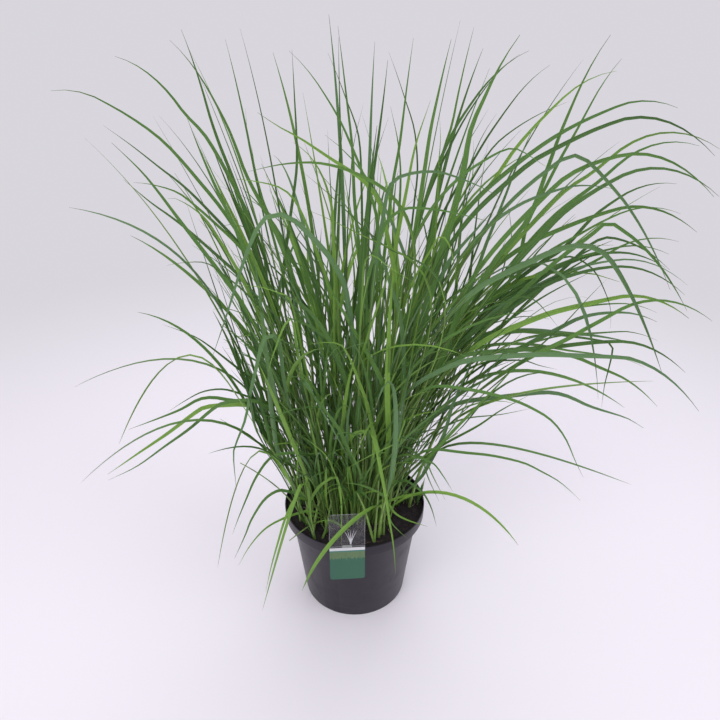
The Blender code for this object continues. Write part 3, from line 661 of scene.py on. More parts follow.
def leaf_finish():
    """A satin blade: its green, partly its own and partly painted light and shade, fine veins along it, a
    pale midrib, a bluish bloom partly a painted sky reflection, and a brown tip.
    """
    finish = Finish("leaf_blade", 0.45, Specular_IOR_Level=0.32)
    along = finish.attribute("along")
    across = finish.attribute("side")
    tone = finish.attribute("tone")
    bloom_and_sky_sheen = finish.attribute("bloom_and_sky_sheen")
    off_centre = (across - 0.5).sum("ABSOLUTE") * 2.0
    patches = finish.speckle(22.0, 3.0)
    lengthwise = finish.node("ShaderNodeCombineXYZ", 0, X=off_centre * 6.0, Y=along * 9.0, Z=tone * 90.0)
    veins = finish.speckle(1.6, 3.0, 0.6, lengthwise)
    ribs = (off_centre * (math.pi * 9.0)).sum("COSINE") * 0.5 + 0.5
    # The blade's tone: from the deep green of painted shade, through the middling green, to the fresh green
    # of painted light
    blade = finish.blend(tone * 2.0, (0.038, 0.110, 0.014), (0.090, 0.216, 0.036))
    blade = finish.blend(tone * 2.0 - 1.0, blade, (0.215, 0.400, 0.056))
    # Bluish bloom: partly real wax, partly a painted reflection of the sky
    blade = finish.blend(bloom_and_sky_sheen * (patches * 0.5 + 0.6), blade, (0.108, 0.212, 0.098))
    blade = finish.blend(veins.step(0.30, 0.50) * -0.45 + 0.45, blade, (0.034, 0.100, 0.016))
    blade = finish.blend(veins.step(0.55, 0.80) * 0.30, blade, (0.240, 0.410, 0.100))
    blade = finish.blend(ribs * 0.08, blade, (0.240, 0.400, 0.110))
    midrib = (1.0 - off_centre.step(0.04, 0.13)) * (1.0 - along.step(0.50, 0.90))
    blade = finish.blend(midrib * 0.30, blade, (0.260, 0.410, 0.140))
    margin = off_centre.step(0.90, 0.98)
    blade = finish.blend(margin * 0.22, blade, (0.260, 0.390, 0.140))
    pale_base = 1.0 - along.step(0.0, 0.12)
    blade = finish.blend(pale_base * 0.35, blade, (0.260, 0.380, 0.110))
    wear = finish.attribute("wear")
    tip = along.step(0.94, 0.985) * wear
    blade = finish.blend(tip * 0.80, blade, (0.145, 0.090, 0.065))
    flecks = finish.speckle(230.0, 1.0).step(0.73, 0.77) * finish.speckle(18.0, 1.0).step(0.60, 0.66)
    finish.color(finish.blend(flecks * 0.5, blade, (0.150, 0.110, 0.045)))
    finish.roughness(ribs * 0.06 + patches * 0.16 + 0.40)
    finish.relief(ribs * 0.7 + midrib * 1.2 + veins * 0.5, 0.00012)
    return finish.material


def culm_finish():
    """A pale green stem in its sheaths, purple at the joints and darker olive-brown towards the soil."""
    finish = Finish("culm_sheath", 0.46)
    along = finish.attribute("along")
    across = finish.attribute("side")
    tone = finish.attribute("tone")
    joint = finish.attribute("joint")
    lines = (across * (math.tau * 5.0)).sum("SINE") * 0.5 + 0.5
    patches = finish.speckle(40.0, 3.0)
    sheath = finish.blend(tone, (0.050, 0.125, 0.020), (0.230, 0.400, 0.082))
    sheath = finish.blend(patches.step(0.45, 0.70) * 0.30, sheath, (0.200, 0.310, 0.090))
    sheath = finish.blend(lines * 0.12, sheath, (0.220, 0.320, 0.100))
    base = 1.0 - along.step(0.0, 0.10)
    sheath = finish.blend(base * 0.50, sheath, (0.085, 0.115, 0.036))
    sheath = finish.blend(joint * 0.45, sheath, (0.100, 0.085, 0.045))
    finish.color(sheath)
    finish.roughness(patches * 0.20 + 0.36)
    finish.relief(lines * 0.6 + patches * 0.4, 0.00010)
    return finish.material


def pot_finish():
    """Moulded satin plastic, near black with a violet cast, with flow marks and dust in its grain."""
    finish = Finish("pot_plastic_satin", 0.40, Specular_IOR_Level=0.42)
    grain = finish.speckle(2600.0, 2.0, 0.6)
    flow = finish.speckle(1.0, 3.0, 0.6, finish.stretched(14.0, 14.0, 60.0))
    dust = finish.speckle(30.0, 5.0, 0.65).step(0.48, 0.78)
    body = finish.blend(flow.step(0.35, 0.70), (0.008, 0.005, 0.013), (0.013, 0.009, 0.019))
    height = finish.node("ShaderNodeSeparateXYZ", 2, Vector=finish.place)
    low = 1.0 - height.step(0.004, 0.045)
    body = finish.blend(dust * 0.08 + low * dust * 0.28, body, (0.110, 0.098, 0.112))
    scuffs = finish.speckle(1.0, 2.0, 0.5, finish.stretched(30.0, 30.0, 900.0)).step(0.66, 0.74)
    body = finish.blend(scuffs * low * 0.5, body, (0.160, 0.150, 0.160))
    finish.color(body)
    finish.roughness(dust * 0.16 + grain * 0.08 + 0.34)
    finish.relief(grain * 0.6 + flow * 0.4, 0.00006)
    return finish.material


def peat_finish():
    """Dark crumbly peat: nearly black with a violet-brown cast, and lighter brown grains."""
    finish = Finish("peat_dark", 0.93)
    coarse = finish.speckle(190.0, 5.0, 0.65)
    fine = finish.speckle(900.0, 4.0, 0.7)
    body = finish.blend(coarse.step(0.35, 0.68), (0.005, 0.0028, 0.005), (0.024, 0.013, 0.016))
    grains = fine.step(0.58, 0.70) * coarse.step(0.48, 0.62)
    body = finish.blend(grains * 0.75, body, (0.090, 0.058, 0.045))
    finish.color(body)
    finish.roughness(fine * 0.18 + 0.80)
    finish.relief(coarse * 0.7 + fine * 0.5, 0.0016)
    return finish.material


def fibre_finish():
    """Pale roots and straw in the peat."""
    finish = Finish("root_fibre", 0.70)
    along = finish.attribute("along")
    tone = finish.attribute("tone")
    body = finish.blend(tone, (0.110, 0.062, 0.036), (0.560, 0.480, 0.360))
    stain = finish.speckle(260.0, 3.0).step(0.45, 0.70)
    dark = stain * 0.6 + (1.0 - along.step(0.0, 0.3)) * 0.2
    finish.color(finish.blend(dark, body, (0.050, 0.028, 0.022)))
    finish.relief(finish.speckle(1400.0, 2.0), 0.0001)
    return finish.material


# Meshes


def put_in_scene(thing):
    bpy.context.scene.collection.objects.link(thing)


def add_piece(name, mesh, material, *nodes, slot):
    """Puts a finished mesh in the scene, rides it on the root and stands it for its CAD nodes."""
    mesh.name = name
    mesh.materials.clear()
    mesh.materials.append(material)
    piece = bpy.data.objects.new(name, mesh)
    put_in_scene(piece)
    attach(piece, "root")
    if nodes:
        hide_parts(*nodes)
    return piece


def mesh_from(built):
    bmesh.ops.recalc_face_normals(built, faces=built.faces)
    mesh = bpy.data.meshes.new("built")
    built.to_mesh(mesh)
    built.free()
    return mesh


def scratch_object(mesh):
    holder = bpy.data.objects.new("scratch", mesh)
    put_in_scene(holder)
    return holder


def settled(holder, *helpers):
    """The plain mesh that an object's modifiers give. The object and its helpers are removed."""
    graph = bpy.context.evaluated_depsgraph_get()
    mesh = bpy.data.meshes.new_from_object(
        holder.evaluated_get(graph), preserve_all_data_layers=True, depsgraph=graph
    )
    for old in (holder, *helpers):
        bpy.data.objects.remove(old, do_unlink=True)
    return mesh


def lathe(profile, sides):
    """Spins an open profile of (radius, height), from the axis round to the axis, into a closed solid."""
    built = bmesh.new()
    rings = []
    for radius, height in profile:
        if radius == 0.0:
            rings.append([built.verts.new((0.0, 0.0, height))])
            continue
        angles = [math.tau * side / sides for side in range(sides)]
        places = [(radius * math.cos(a), radius * math.sin(a), height) for a in angles]
        rings.append([built.verts.new(place) for place in places])
    for lower, upper in zip(rings, rings[1:]):
        for side in range(sides):
            after = (side + 1) % sides
            corners = [lower[side % len(lower)], lower[after % len(lower)]]
            corners += [upper[after % len(upper)], upper[side % len(upper)]]
            built.faces.new(list(dict.fromkeys(corners)))
    return built


def prism(outline, place, push):
    """A closed prism: each corner of the outline is put in space by place(), then pushed along a vector."""
    built = bmesh.new()
    near = [built.verts.new(place(a, b)) for a, b in outline]
    far = [built.verts.new(Vector(place(a, b)) + Vector(push)) for a, b in outline]
    built.faces.new(near)
    built.faces.new(list(reversed(far)))
    for index in range(len(outline)):
        after = (index + 1) % len(outline)
        built.faces.new([near[index], far[index], far[after], near[after]])
    bmesh.ops.recalc_face_normals(built, faces=built.faces)
    return built


def cut(target, tool_mesh, operation="DIFFERENCE"):
    tool = scratch_object(tool_mesh)
    tool.hide_render = True
    cutter = target.modifiers.new("cut", "BOOLEAN")
    cutter.operation = operation
    cutter.solver = "EXACT"
    cutter.object = tool
    return tool


def rounded(corners, radius, steps=4):
    """Rounds each inner corner of an open profile by a radius, with a few points on each arc."""
    points = [corners[0]]
    for before, corner, after in zip(corners, corners[1:], corners[2:]):
        here = Vector(corner)
        back = Vector(before) - here
        ahead = Vector(after) - here
        reach = min(radius, back.length * 0.45, ahead.length * 0.45)
        start = here + back.normalized() * reach
        end = here + ahead.normalized() * reach
        for step in range(steps + 1):
            share = step / steps
            point = start.lerp(here, share).lerp(here.lerp(end, share), share)
            points.append((point.x, point.y))
    return points + [corners[-1]]


# Pot


def inner_wall_radius(height):
    share = height / SHOULDER_HEIGHT
    return BASE_RADIUS + (SHOULDER_RADIUS - BASE_RADIUS) * share - WALL


def pot_profile():
    inner_floor = FLOOR_UNDERSIDE + FLOOR_THICKNESS
    ledge = SHOULDER_HEIGHT + WALL
    corners = [
        (0.0, 0.0),
        (CENTRE_PAD_RADIUS, 0.0),
        (CENTRE_PAD_RADIUS, FLOOR_UNDERSIDE),
        (BASE_RADIUS - FOOT_WIDTH, FLOOR_UNDERSIDE),
        (BASE_RADIUS - FOOT_WIDTH, 0.0),
        (BASE_RADIUS, 0.0),
        (SHOULDER_RADIUS, SHOULDER_HEIGHT),
        (RIM_RADIUS - COLLAR_DRAFT, SHOULDER_HEIGHT),
        (RIM_RADIUS, POT_HEIGHT),
        (RIM_RADIUS - WALL, POT_HEIGHT),
        (RIM_RADIUS - COLLAR_DRAFT - WALL, ledge),
        (SHOULDER_RADIUS - WALL, ledge),
        (inner_wall_radius(inner_floor), inner_floor),
        (0.0, inner_floor),
    ]
    return rounded(corners, POT_EDGE_RADIUS)


def notch_outline():
    half = NOTCH_WIDTH / 2
    outline = [(-half, -NOTCH_HEIGHT), (half, -NOTCH_HEIGHT)]
    for step in range(13):
        angle = math.pi * step / 12
        outline.append((half * math.cos(angle), NOTCH_HEIGHT * math.sin(angle) ** 0.6))
    return outline


def make_pot():
    shell = scratch_object(mesh_from(lathe(pot_profile(), POT_SIDES)))
    tools = []
    for number in range(NOTCH_COUNT):
        inner = BASE_RADIUS - FOOT_WIDTH / 2 - NOTCH_DEPTH / 2
        block = prism(notch_outline(), lambda y, z: (inner, y, z), (NOTCH_DEPTH, 0.0, 0.0))
        block.transform(Matrix.Rotation(NOTCH_FIRST_ANGLE + math.tau * number / NOTCH_COUNT, 4, "Z"))
        tools.append(cut(shell, mesh_from(block)))
    for number in range(DRAIN_HOLES):
        angle = math.tau * (number + 0.5) / DRAIN_HOLES
        drill = bmesh.new()
        bmesh.ops.create_cone(
            drill,
            cap_ends=True,
            segments=32,
            radius1=DRAIN_HOLE_RADIUS,
            radius2=DRAIN_HOLE_RADIUS,
            depth=DRILL_DEPTH,
        )
        centre = Vector((math.cos(angle), math.sin(angle), 0.0)) * DRAIN_CIRCLE_RADIUS
        drill.transform(Matrix.Translation(centre + UP * FLOOR_UNDERSIDE))
        tools.append(cut(shell, mesh_from(drill)))
    mesh = settled(shell, *tools)
    mesh.shade_smooth()
    mesh.set_sharp_from_angle(angle=POT_SHARP_ANGLE)
    add_piece("pot_shell", mesh, pot_finish(), "pot", slot="pot_plastic")


# Soil


def soil_height(x, y):
    return SOIL_EDGE_HEIGHT + SOIL_CROWN * (1.0 - (x * x + y * y) / SOIL_REACH**2)


def peat_lift(x, y):
    """How far the crumbs of the peat's surface stand above its low dome."""
    far = math.hypot(x, y) / SOIL_REACH
    coarse = noise.fractal(Vector((x, y, 0.3)) * 60.0, 0.9, 2.1, 3)
    fine = noise.fractal(Vector((x, y, 0.9)) * 330.0, 0.8, 2.1, 3)
    return (coarse * 0.0022 + abs(fine) * 0.0016) * (1.0 - far**12) + 0.0002


def make_peat():
    floor = FLOOR_UNDERSIDE + FLOOR_THICKNESS + GAP
    ledge = SHOULDER_HEIGHT + WALL + GAP
    profile = [
        (0.0, floor),
        (inner_wall_radius(floor) - GAP, floor),
        (SHOULDER_RADIUS - WALL - 2 * GAP, ledge),
        (SOIL_REACH, ledge),
    ]
    for ring in range(SOIL_RINGS, -1, -1):
        profile.append((SOIL_REACH * ring / SOIL_RINGS, SOIL_EDGE_HEIGHT))
    built = lathe(profile, SOIL_SIDES)
    for vertex in built.verts:
        if vertex.co.z > ledge + GAP:
            x, y = vertex.co.x, vertex.co.y
            vertex.co.z = soil_height(x, y) + peat_lift(x, y)
    mesh = mesh_from(built)
    mesh.shade_smooth()
    finish = peat_finish()
    add_piece("peat_surface", mesh, finish, "soil", slot="peat")
    return finish


class NodeTree:
    """A Geometry Nodes tree with named inputs."""

    def __init__(self, name, **inputs):
        self.tree = bpy.data.node_groups.new(name, "GeometryNodeTree")
        self.tree.interface.new_socket("Geometry", in_out="INPUT", socket_type="NodeSocketGeometry")
        self.names = {}
        for label, (kind, value) in inputs.items():
            socket = self.tree.interface.new_socket(label, in_out="INPUT", socket_type=kind)
            if value is not None:
                socket.default_value = value
            self.names[label] = socket.identifier
        self.tree.interface.new_socket("Geometry", in_out="OUTPUT", socket_type="NodeSocketGeometry")
        self.start = self.tree.nodes.new("NodeGroupInput")
        self.end = self.tree.nodes.new("NodeGroupOutput")

    def given(self, label):
        return self.start.outputs[label]

    def node(self, kind, settings=None, **inputs):
        made = self.tree.nodes.new(kind)
        for name, value in (settings or {}).items():
            setattr(made, name, value)
        for name, value in inputs.items():
            socket = made.inputs[name.replace("_", " ").strip()]
            if isinstance(value, bpy.types.NodeSocket):
                self.tree.links.new(value, socket)
            else:
                socket.default_value = value
        return made.outputs[0]

    def number(self, operation, first, second=0.0):
        made = self.tree.nodes.new("ShaderNodeMath")
        made.operation = operation
        for socket, value in zip(made.inputs, (first, second)):
            if isinstance(value, bpy.types.NodeSocket):
                self.tree.links.new(value, socket)
            else:
                socket.default_value = value
        return made.outputs[0]

    def named(self, name, kind="FLOAT"):
        return self.node("GeometryNodeInputNamedAttribute", {"data_type": kind}, Name=name)

    def finished(self, geometry):
        """Ends the tree: instances made real, and the material set."""
        real = self.node("GeometryNodeRealizeInstances", Geometry=geometry)
        dressed = self.node("GeometryNodeSetMaterial", Geometry=real, Material=self.given("Material"))
        self.tree.links.new(dressed, self.end.inputs[0])

    def run(self, mesh, **values):
        """The plain mesh that this tree makes of another."""
        holder = scratch_object(mesh)
        modifier = holder.modifiers.new("made", "NODES")
        modifier.node_group = self.tree
        for label, value in values.items():
            modifier[self.names[label]] = value
        return settled(holder)


def crumb_tree():
    """Strews lumps on a surface, turned and sized at random."""
    made = NodeTree(
        "crumbs",
        Material=("NodeSocketMaterial", None),
        Density=("NodeSocketFloat", 20000.0),
        Size=("NodeSocketFloat", 0.0016),
        Seed=("NodeSocketInt", 3),
    )
    points = made.node(
        "GeometryNodeDistributePointsOnFaces",
        Mesh=made.given("Geometry"),
        Density=made.given("Density"),
        Seed=made.given("Seed"),
    )
    lump = made.node("GeometryNodeMeshIcoSphere", Radius=1.0, Subdivisions=1)
    turn = made.tree.nodes.new("FunctionNodeRandomValue")
    turn.data_type = "FLOAT_VECTOR"
    turn.inputs["Max"].default_value = (math.tau, math.tau, math.tau)
    size = made.tree.nodes.new("FunctionNodeRandomValue")
    size.data_type = "FLOAT_VECTOR"
    size.inputs["Min"].default_value = (0.4, 0.4, 0.3)
    size.inputs["Max"].default_value = (1.5, 1.2, 0.8)
    size.inputs["Seed"].default_value = 8
    small = made.node(
        "ShaderNodeVectorMath", {"operation": "SCALE"}, Vector=size.outputs[0], Scale=made.given("Size")
    )
    strewn = made.node(
        "GeometryNodeInstanceOnPoints", Points=points, Instance=lump, Rotation=turn.outputs[0], Scale=small
    )
    made.finished(strewn)
    return made


def sweep_tree():
    """Sweeps a closed section along lines, whose points carry their own half width and width direction.

    A leaf's section is a shallow V with a thin wall, and a stem's is round.
    """
    made = NodeTree(
        "swept_lines",
        Material=("NodeSocketMaterial", None),
        Fold=("NodeSocketFloat", 0.40),
        Wall=("NodeSocketFloat", 0.10),
        Round=("NodeSocketBool", False),
        Sides=("NodeSocketInt", 6),
    )
    lines = made.node("GeometryNodeMeshToCurve", Mesh=made.given("Geometry"))
    lines = made.node(
        "GeometryNodeSetCurveNormal",
        {"mode": "FREE"},
        Curve=lines,
        Normal=made.named("width_way", "FLOAT_VECTOR"),
    )
    blade = made.node(
        "GeometryNodeCurvePrimitiveQuadrilateral",
        {"mode": "KITE"},
        Width=2.0,
        Bottom_Height=made.number("ADD", made.given("Fold"), made.given("Wall")),
        Top_Height=made.number("MULTIPLY", made.given("Fold"), -1.0),
    )
    tube = made.node("GeometryNodeCurvePrimitiveCircle", Resolution=made.given("Sides"), Radius=1.0)
    section = made.node(
        "GeometryNodeSwitch",
        {"input_type": "GEOMETRY"},
        Switch=made.given("Round"),
        False_=blade,
        True_=tube,
    )
    sideways = made.node("ShaderNodeSeparateXYZ", Vector=made.node("GeometryNodeInputPosition"))
    side = made.number("MULTIPLY_ADD", sideways, 0.5)
    side.node.inputs[2].default_value = 0.5
    section = made.node(
        "GeometryNodeStoreNamedAttribute",
        {"data_type": "FLOAT", "domain": "POINT"},
        Geometry=section,
        Name="side",
        Value=side,
    )
    swept = made.node(
        "GeometryNodeCurveToMesh",
        Curve=lines,
        Profile_Curve=section,
        Scale=made.named("half_width"),
        Fill_Caps=True,
    )
    made.finished(made.node("GeometryNodeSetShadeSmooth", Geometry=swept))
    return made


POINT_FACTS = ("half_width", "along", "tone", "bloom_and_sky_sheen", "wear", "joint", "number")


def lines_mesh(lines):
    """One mesh of loose lines. A line is a dict: points, width_way, and a number for each point fact."""
    points = np.concatenate([line["points"] for line in lines])
    edges = []
    start = 0
    for line in lines:
        count = len(line["points"])
        edges += [(start + step, start + step + 1) for step in range(count - 1)]
        start += count
    mesh = bpy.data.meshes.new("lines")
    mesh.from_pydata(points.tolist(), edges, [])
    ways = np.concatenate([line["width_way"] for line in lines]).astype(np.float32)
    mesh.attributes.new("width_way", "FLOAT_VECTOR", "POINT").data.foreach_set("vector", ways.ravel())
    for fact in POINT_FACTS:
        values = [np.broadcast_to(line.get(fact, 0.0), len(line["points"])) for line in lines]
        values = np.concatenate(values).astype(np.float32)
        mesh.attributes.new(fact, "FLOAT", "POINT").data.foreach_set("value", values)
    return mesh


def read_fact(mesh, fact):
    values = np.empty(len(mesh.vertices), np.float32)
    mesh.attributes[fact].data.foreach_get("value", values)
    return values


def lay_out_strips(mesh, count, columns):
    """Gives each swept line a strip of its own on the map that the colors are baked to."""
    rows = math.ceil(count / columns)
    number = read_fact(mesh, "number")
    across = (0.12 + 0.76 * read_fact(mesh, "side") + number % rows) / rows
    along = (0.01 + 0.98 * read_fact(mesh, "along") + number // rows) / columns
    corners = np.empty(len(mesh.loops), np.int32)
    mesh.loops.foreach_get("vertex_index", corners)
    places = np.stack([along[corners], across[corners]], 1).astype(np.float32)
    mesh.uv_layers.new(name="OFBake").data.foreach_set("uv", places.ravel())
    for fact in ("number", "half_width", "width_way"):
        mesh.attributes.remove(mesh.attributes[fact])


def swept(tree, lines, material, columns, **sizes):
    for number, line in enumerate(lines):
        line["number"] = float(number)
    mesh = tree.run(lines_mesh(lines), Material=material, **sizes)
    mesh.set_sharp_from_angle(angle=BLADE_SHARP_ANGLE)
    lay_out_strips(mesh, len(lines), columns)
    return mesh


# Lines in space


def at_pixel(pixel, depth):
    """The point seen at a pixel, on the upright plane that lies that far back."""
    x, y = pixel
    ray = SIGHT + Vector((1.0, 0.0, 0.0)) * ((x - PHOTO_MIDDLE) / FOCAL_PIXELS)
    ray += SIGHT_UP * ((PHOTO_MIDDLE - y) / FOCAL_PIXELS)
    return CAMERA_PLACE + ray * ((depth - CAMERA_PLACE.y) / ray.y)


def pixel_of(point):
    away = Vector(point) - CAMERA_PLACE
    far = away.dot(SIGHT)
    x = PHOTO_MIDDLE + FOCAL_PIXELS * away.x / far
    return x, PHOTO_MIDDLE - FOCAL_PIXELS * away.dot(SIGHT_UP) / far


def bezier(points, share):
    left = 1.0 - share
    weights = (left**3, 3 * left**2 * share, 3 * left * share**2, share**3)
    return sum((point * weight for point, weight in zip(points, weights)), Vector())


def through(points, steps=8):
    """A smooth line through the points."""
    line = []
    ends = [points[0] * 2 - points[1], *points, points[-1] * 2 - points[-2]]
    for a, b, c, d in zip(ends, ends[1:], ends[2:], ends[3:]):
        for step in range(steps):
            t = step / steps
            here = b * 2 + (c - a) * t + (a * 2 - b * 5 + c * 4 - d) * t * t
            line.append((here + (b * 3 - a - c * 3 + d) * t**3) * 0.5)
    return line + [points[-1]]


def as_rows(points):
    return np.array([tuple(point) for point in points])


def evenly(line, count):
    """The same line with count points, evenly far apart."""
    places = as_rows(line)
    far = np.concatenate([[0.0], np.cumsum(np.linalg.norm(np.diff(places, axis=0), axis=1))])
    wanted = np.linspace(0.0, far[-1], count)
    return np.stack([np.interp(wanted, far, places[:, axis]) for axis in range(3)], 1)


def tangents(points):
    ways = np.gradient(points, axis=0)
    return ways / np.maximum(np.linalg.norm(ways, axis=1, keepdims=True), 1e-9)


def taper(along, fullness):
    """Share of a leaf's full width: narrow at the fork, widest at a third, drawn out to a fine tip."""
    swell = 0.30 + 0.70 * np.sin(math.pi / 2 * np.minimum(along / 0.34, 1.0))
    narrow = 1.0 - np.maximum(0.0, (along - 0.3) / 0.7) ** fullness
    return swell * np.maximum(narrow, 0.05)


def leaf_line(points, width, upper, roll, green, chance, fullness=BLADE_FULLNESS):
    """A leaf's line: its points, its half width, and the way its width lies, rolled along its length."""
    along = np.linspace(0.0, 1.0, len(points))
    ways = tangents(points)
    across = np.cross(upper, ways)
    across /= np.maximum(np.linalg.norm(across, axis=1, keepdims=True), 1e-6)
    lift = np.cross(ways, across)
    turn = np.asarray(roll(along))[:, None]
    return {
        "points": points,
        "half_width": width / 2 * taper(along, fullness),
        "width_way": across * np.cos(turn) + lift * np.sin(turn),
        "along": along,
        # Tone: partly the blade's own, partly painted light and shade
        "tone": min(max(green[0] + chance.uniform(-0.10, 0.10), 0.0), 1.0),
        # Bloom: partly real wax, partly a painted sky reflection
        "bloom_and_sky_sheen": min(max(green[1] + chance.uniform(-0.10, 0.10), 0.0), 1.0),
        "wear": chance.random(),
    }


def any_green(chance):
    """The green of a leaf that the photograph doesn't show by itself: mostly the deep green of painted
    shade, or the middling green.
    """
    return chance.choice((DEEP_SHADED, DEEP_SHADED, MID, MID, (0.7, 0.1), FRESH_LIT, FRESH_LIT, BLUISH_SHEEN))


# Grass


def stem_point(ends, share):
    (x, y), top = ends
    root = Vector((x, y, soil_height(x, y) + GAP))
    end = Vector(top)
    handle = root.lerp(end, STEM_LEAN)
    handle.z = (root.z + end.z) / 2
    return root.lerp(handle, share).lerp(handle.lerp(end, share), share)


def stem_way(ends, share):
    return (stem_point(ends, share) - stem_point(ends, share - 0.01)).normalized()


def stem_radius(share):
    return STEM_BASE_RADIUS + (STEM_TOP_RADIUS - STEM_BASE_RADIUS) * share


def culm_line(line, radius, chance, paleness=1.0):
    """A stem's line: it thins upwards and swells a little at each joint."""
    points = evenly(line, CULM_POINTS)
    share = np.linspace(0.0, 1.0, CULM_POINTS)
    joint = np.zeros(CULM_POINTS)
    joint[CULM_JOINTS] = 1.0
    size = radius * (1.0 - 0.5 * share) * (1.0 + 0.14 * joint)
    ways = np.tile((1.0, 0.0, 0.0), (CULM_POINTS, 1)).astype(float)
    return {
        "points": points,
        "half_width": size,
        "width_way": np.cross(tangents(points), ways),
        "along": share,
        "tone": chance.random() * paleness,
        "joint": joint,
    }


def cad_leaf_line(stem, place, chance):
    """One of the CAD's leaves, on the same curve."""
    arch, tip, width, *green = LEAVES[stem][place]
    share = FORKS[place]
    fork = stem_point(STEMS[stem], share)
    way = stem_way(STEMS[stem], share)
    if share < 1.0:
        outward = Vector((arch[0] - fork.x, arch[1] - fork.y, 0.0)).normalized()
        fork = fork + outward * (stem_radius(share) + LEAF_STANDOFF)
    else:
        fork = fork + way * 2 * GAP
    handle = fork + way * (Vector(arch) - fork).length * LEAF_HANDLE
    corners = [fork, handle, Vector(arch), Vector(tip)]
    points = evenly([bezier(corners, step / 40) for step in range(41)], CAD_LEAF_POINTS)
    plan = np.array((tip[0] - fork.x, tip[1] - fork.y, 0.0))
    over = np.cross(np.cross(plan, UP), (corners[3] - corners[0]).normalized())
    upper = np.tile(over, (CAD_LEAF_POINTS, 1))
    spin = chance.uniform(-0.7, 0.7)
    if green:
        width *= SHOWN_WIDENING
        return leaf_line(points, width, upper, lambda along: spin * along, green[0], chance, SHOWN_FULLNESS)
    return leaf_line(points, width, upper, lambda along: spin * along, any_green(chance), chance)


def off_bare_soil(place):
    """Keeps a root off the bare soil that shows behind the front of the rim and on the right."""
    x, y = place
    if y < STEMS_FRONT:
        y = STEMS_FRONT + (STEMS_FRONT - y) * 0.5
    if x > BARE_SOIL_FROM and BARE_SOIL_FRONT < y < BARE_SOIL_BACK:
        x = BARE_SOIL_FROM - (x - BARE_SOIL_FROM) * 0.6
    return Vector((x, y))


def shoot_root(turn, away):
    return off_bare_soil(Vector((away * math.cos(turn), away * math.sin(turn))))


def in_box(point, room):
    """Whether a point lies in the CAD's box, with some room to its sides."""
    low, high = cad_box
    return all(low[axis] + room < point[axis] < high[axis] - room for axis in range(3))


def carried_on(pixels, beyond, depth):
    """Carries a leaf on past the photograph's edge: it droops on its way, and keeps in the box."""
    onward = (pixels[-1] - pixels[-2]).normalized()
    for _ in range(beyond // CARRY_STEP):
        onward = (onward + Vector((0.0, abs(onward.x) * DROOP))).normalized()
        after = pixels[-1] + onward * CARRY_STEP
        if not in_box(at_pixel(after, depth), -TIP_ROOM):
            break
        pixels.append(after)
    return pixels


def seen_leaf(row, chance):
    """A leaf on its place in the photograph, and the stem that carries it down to the soil."""
    green, depth, width, beyond, *pixels = row
    pixels = [Vector(pixel) for pixel in reversed(pixels)]
    if beyond:
        pixels = carried_on(pixels, beyond, depth)
    inner = at_pixel(pixels[0], depth * 0.5)
    root = Vector((inner.x * 0.42, depth * 0.40, 0.0))
    root.xy = off_bare_soil(root.xy * min(1.0, 0.080 / max(root.xy.length, 1e-6)))
    root.z = soil_height(root.x, root.y) - 0.002
    start = Vector(pixel_of(root))
    gone = (pixels[0] - start).length
    marks = [gone]
    for before, after in zip(pixels, pixels[1:]):
        marks.append(marks[-1] + (after - before).length)
    shown = [
        at_pixel(pixel, root.y + (depth - root.y) * mark / marks[-1]) for pixel, mark in zip(pixels, marks)
    ]
    reach = (shown[0] - root).length
    leaving = ((shown[0] - root).normalized() + UP * 0.7).normalized()
    arriving = (shown[1] - shown[0]).normalized()
    corners = [root, root + leaving * reach * 0.38, shown[0] - arriving * reach * 0.30, shown[0]]
    hidden = [bezier(corners, step / 30) for step in range(31)]
    fork = 19 if reach > 0.24 else 14 if reach > 0.12 else 8
    points = evenly(hidden[fork:-1] + through(shown), SEEN_LEAF_POINTS)
    to_camera = np.array(CAMERA_PLACE) - points
    lean = chance.uniform(-0.5, 0.5)
    spin = chance.uniform(-0.6, 0.6)
    upper = to_camera / np.linalg.norm(to_camera, axis=1, keepdims=True)
    leaf = leaf_line(points, width / 1000, upper, lambda along: lean + spin * along, green, chance)
    culm = culm_line(hidden[: fork + 8], chance.uniform(0.0010, 0.0014), chance)
    return root, leaf, culm


def soil_at(pixel):
    """The point of the soil's surface that is seen at a pixel."""
    far = at_pixel(pixel, 0.0)
    ray = (far - CAMERA_PLACE).normalized()
    point = CAMERA_PLACE + ray * ((SOIL_EDGE_HEIGHT + SOIL_CROWN / 2 - CAMERA_PLACE.z) / ray.z)
    point.z = soil_height(point.x, point.y) - 0.001
    return point


def seen_stem(pixels, chance):
    """A stem that stands on its place in the photograph."""
    root = soil_at(pixels[0])
    points = [root] + [at_pixel(pixel, root.y + 0.004 * step) for step, pixel in enumerate(pixels[1:], 1)]
    return root, culm_line(through(points), chance.uniform(0.0018, 0.0024), chance)


def sprout(pixel, chance):
    """A few short blades that come straight out of the soil."""
    root = soil_at(pixel)
    blades = []
    for _ in range(SPROUT_BLADES):
        turn = chance.uniform(0.0, math.tau)
        start = root + Vector((math.cos(turn), math.sin(turn), 0.0)) * 0.002
        length = chance.uniform(0.014, 0.040)
        points = grown_leaf(start, UP.copy(), turn, length, chance.uniform(0.1, 0.5), 0.5, chance)
        points = as_rows(points)
        upper = np.cross(np.cross((math.cos(turn), math.sin(turn), 0.0), UP), tangents(points))
        width = chance.uniform(0.0022, 0.0042)
        blades.append(leaf_line(points, width, upper, lambda along: along * 0.8, any_green(chance), chance))
    return root, blades


def nearest_stem(root):
    return min(STEMS, key=lambda stem: (Vector(STEMS[stem][0]) - root.xy).length)


def inside_outline(pixel):
    """Whether a pixel lies inside the clump's outline."""
    x, y = pixel
    inside = False
    for (ax, ay), (bx, by) in zip(OUTLINE, OUTLINE[1:] + OUTLINE[:1]):
        if (ay > y) != (by > y) and x < (bx - ax) * (y - ay) / (by - ay) + ax:
            inside = not inside
    return inside


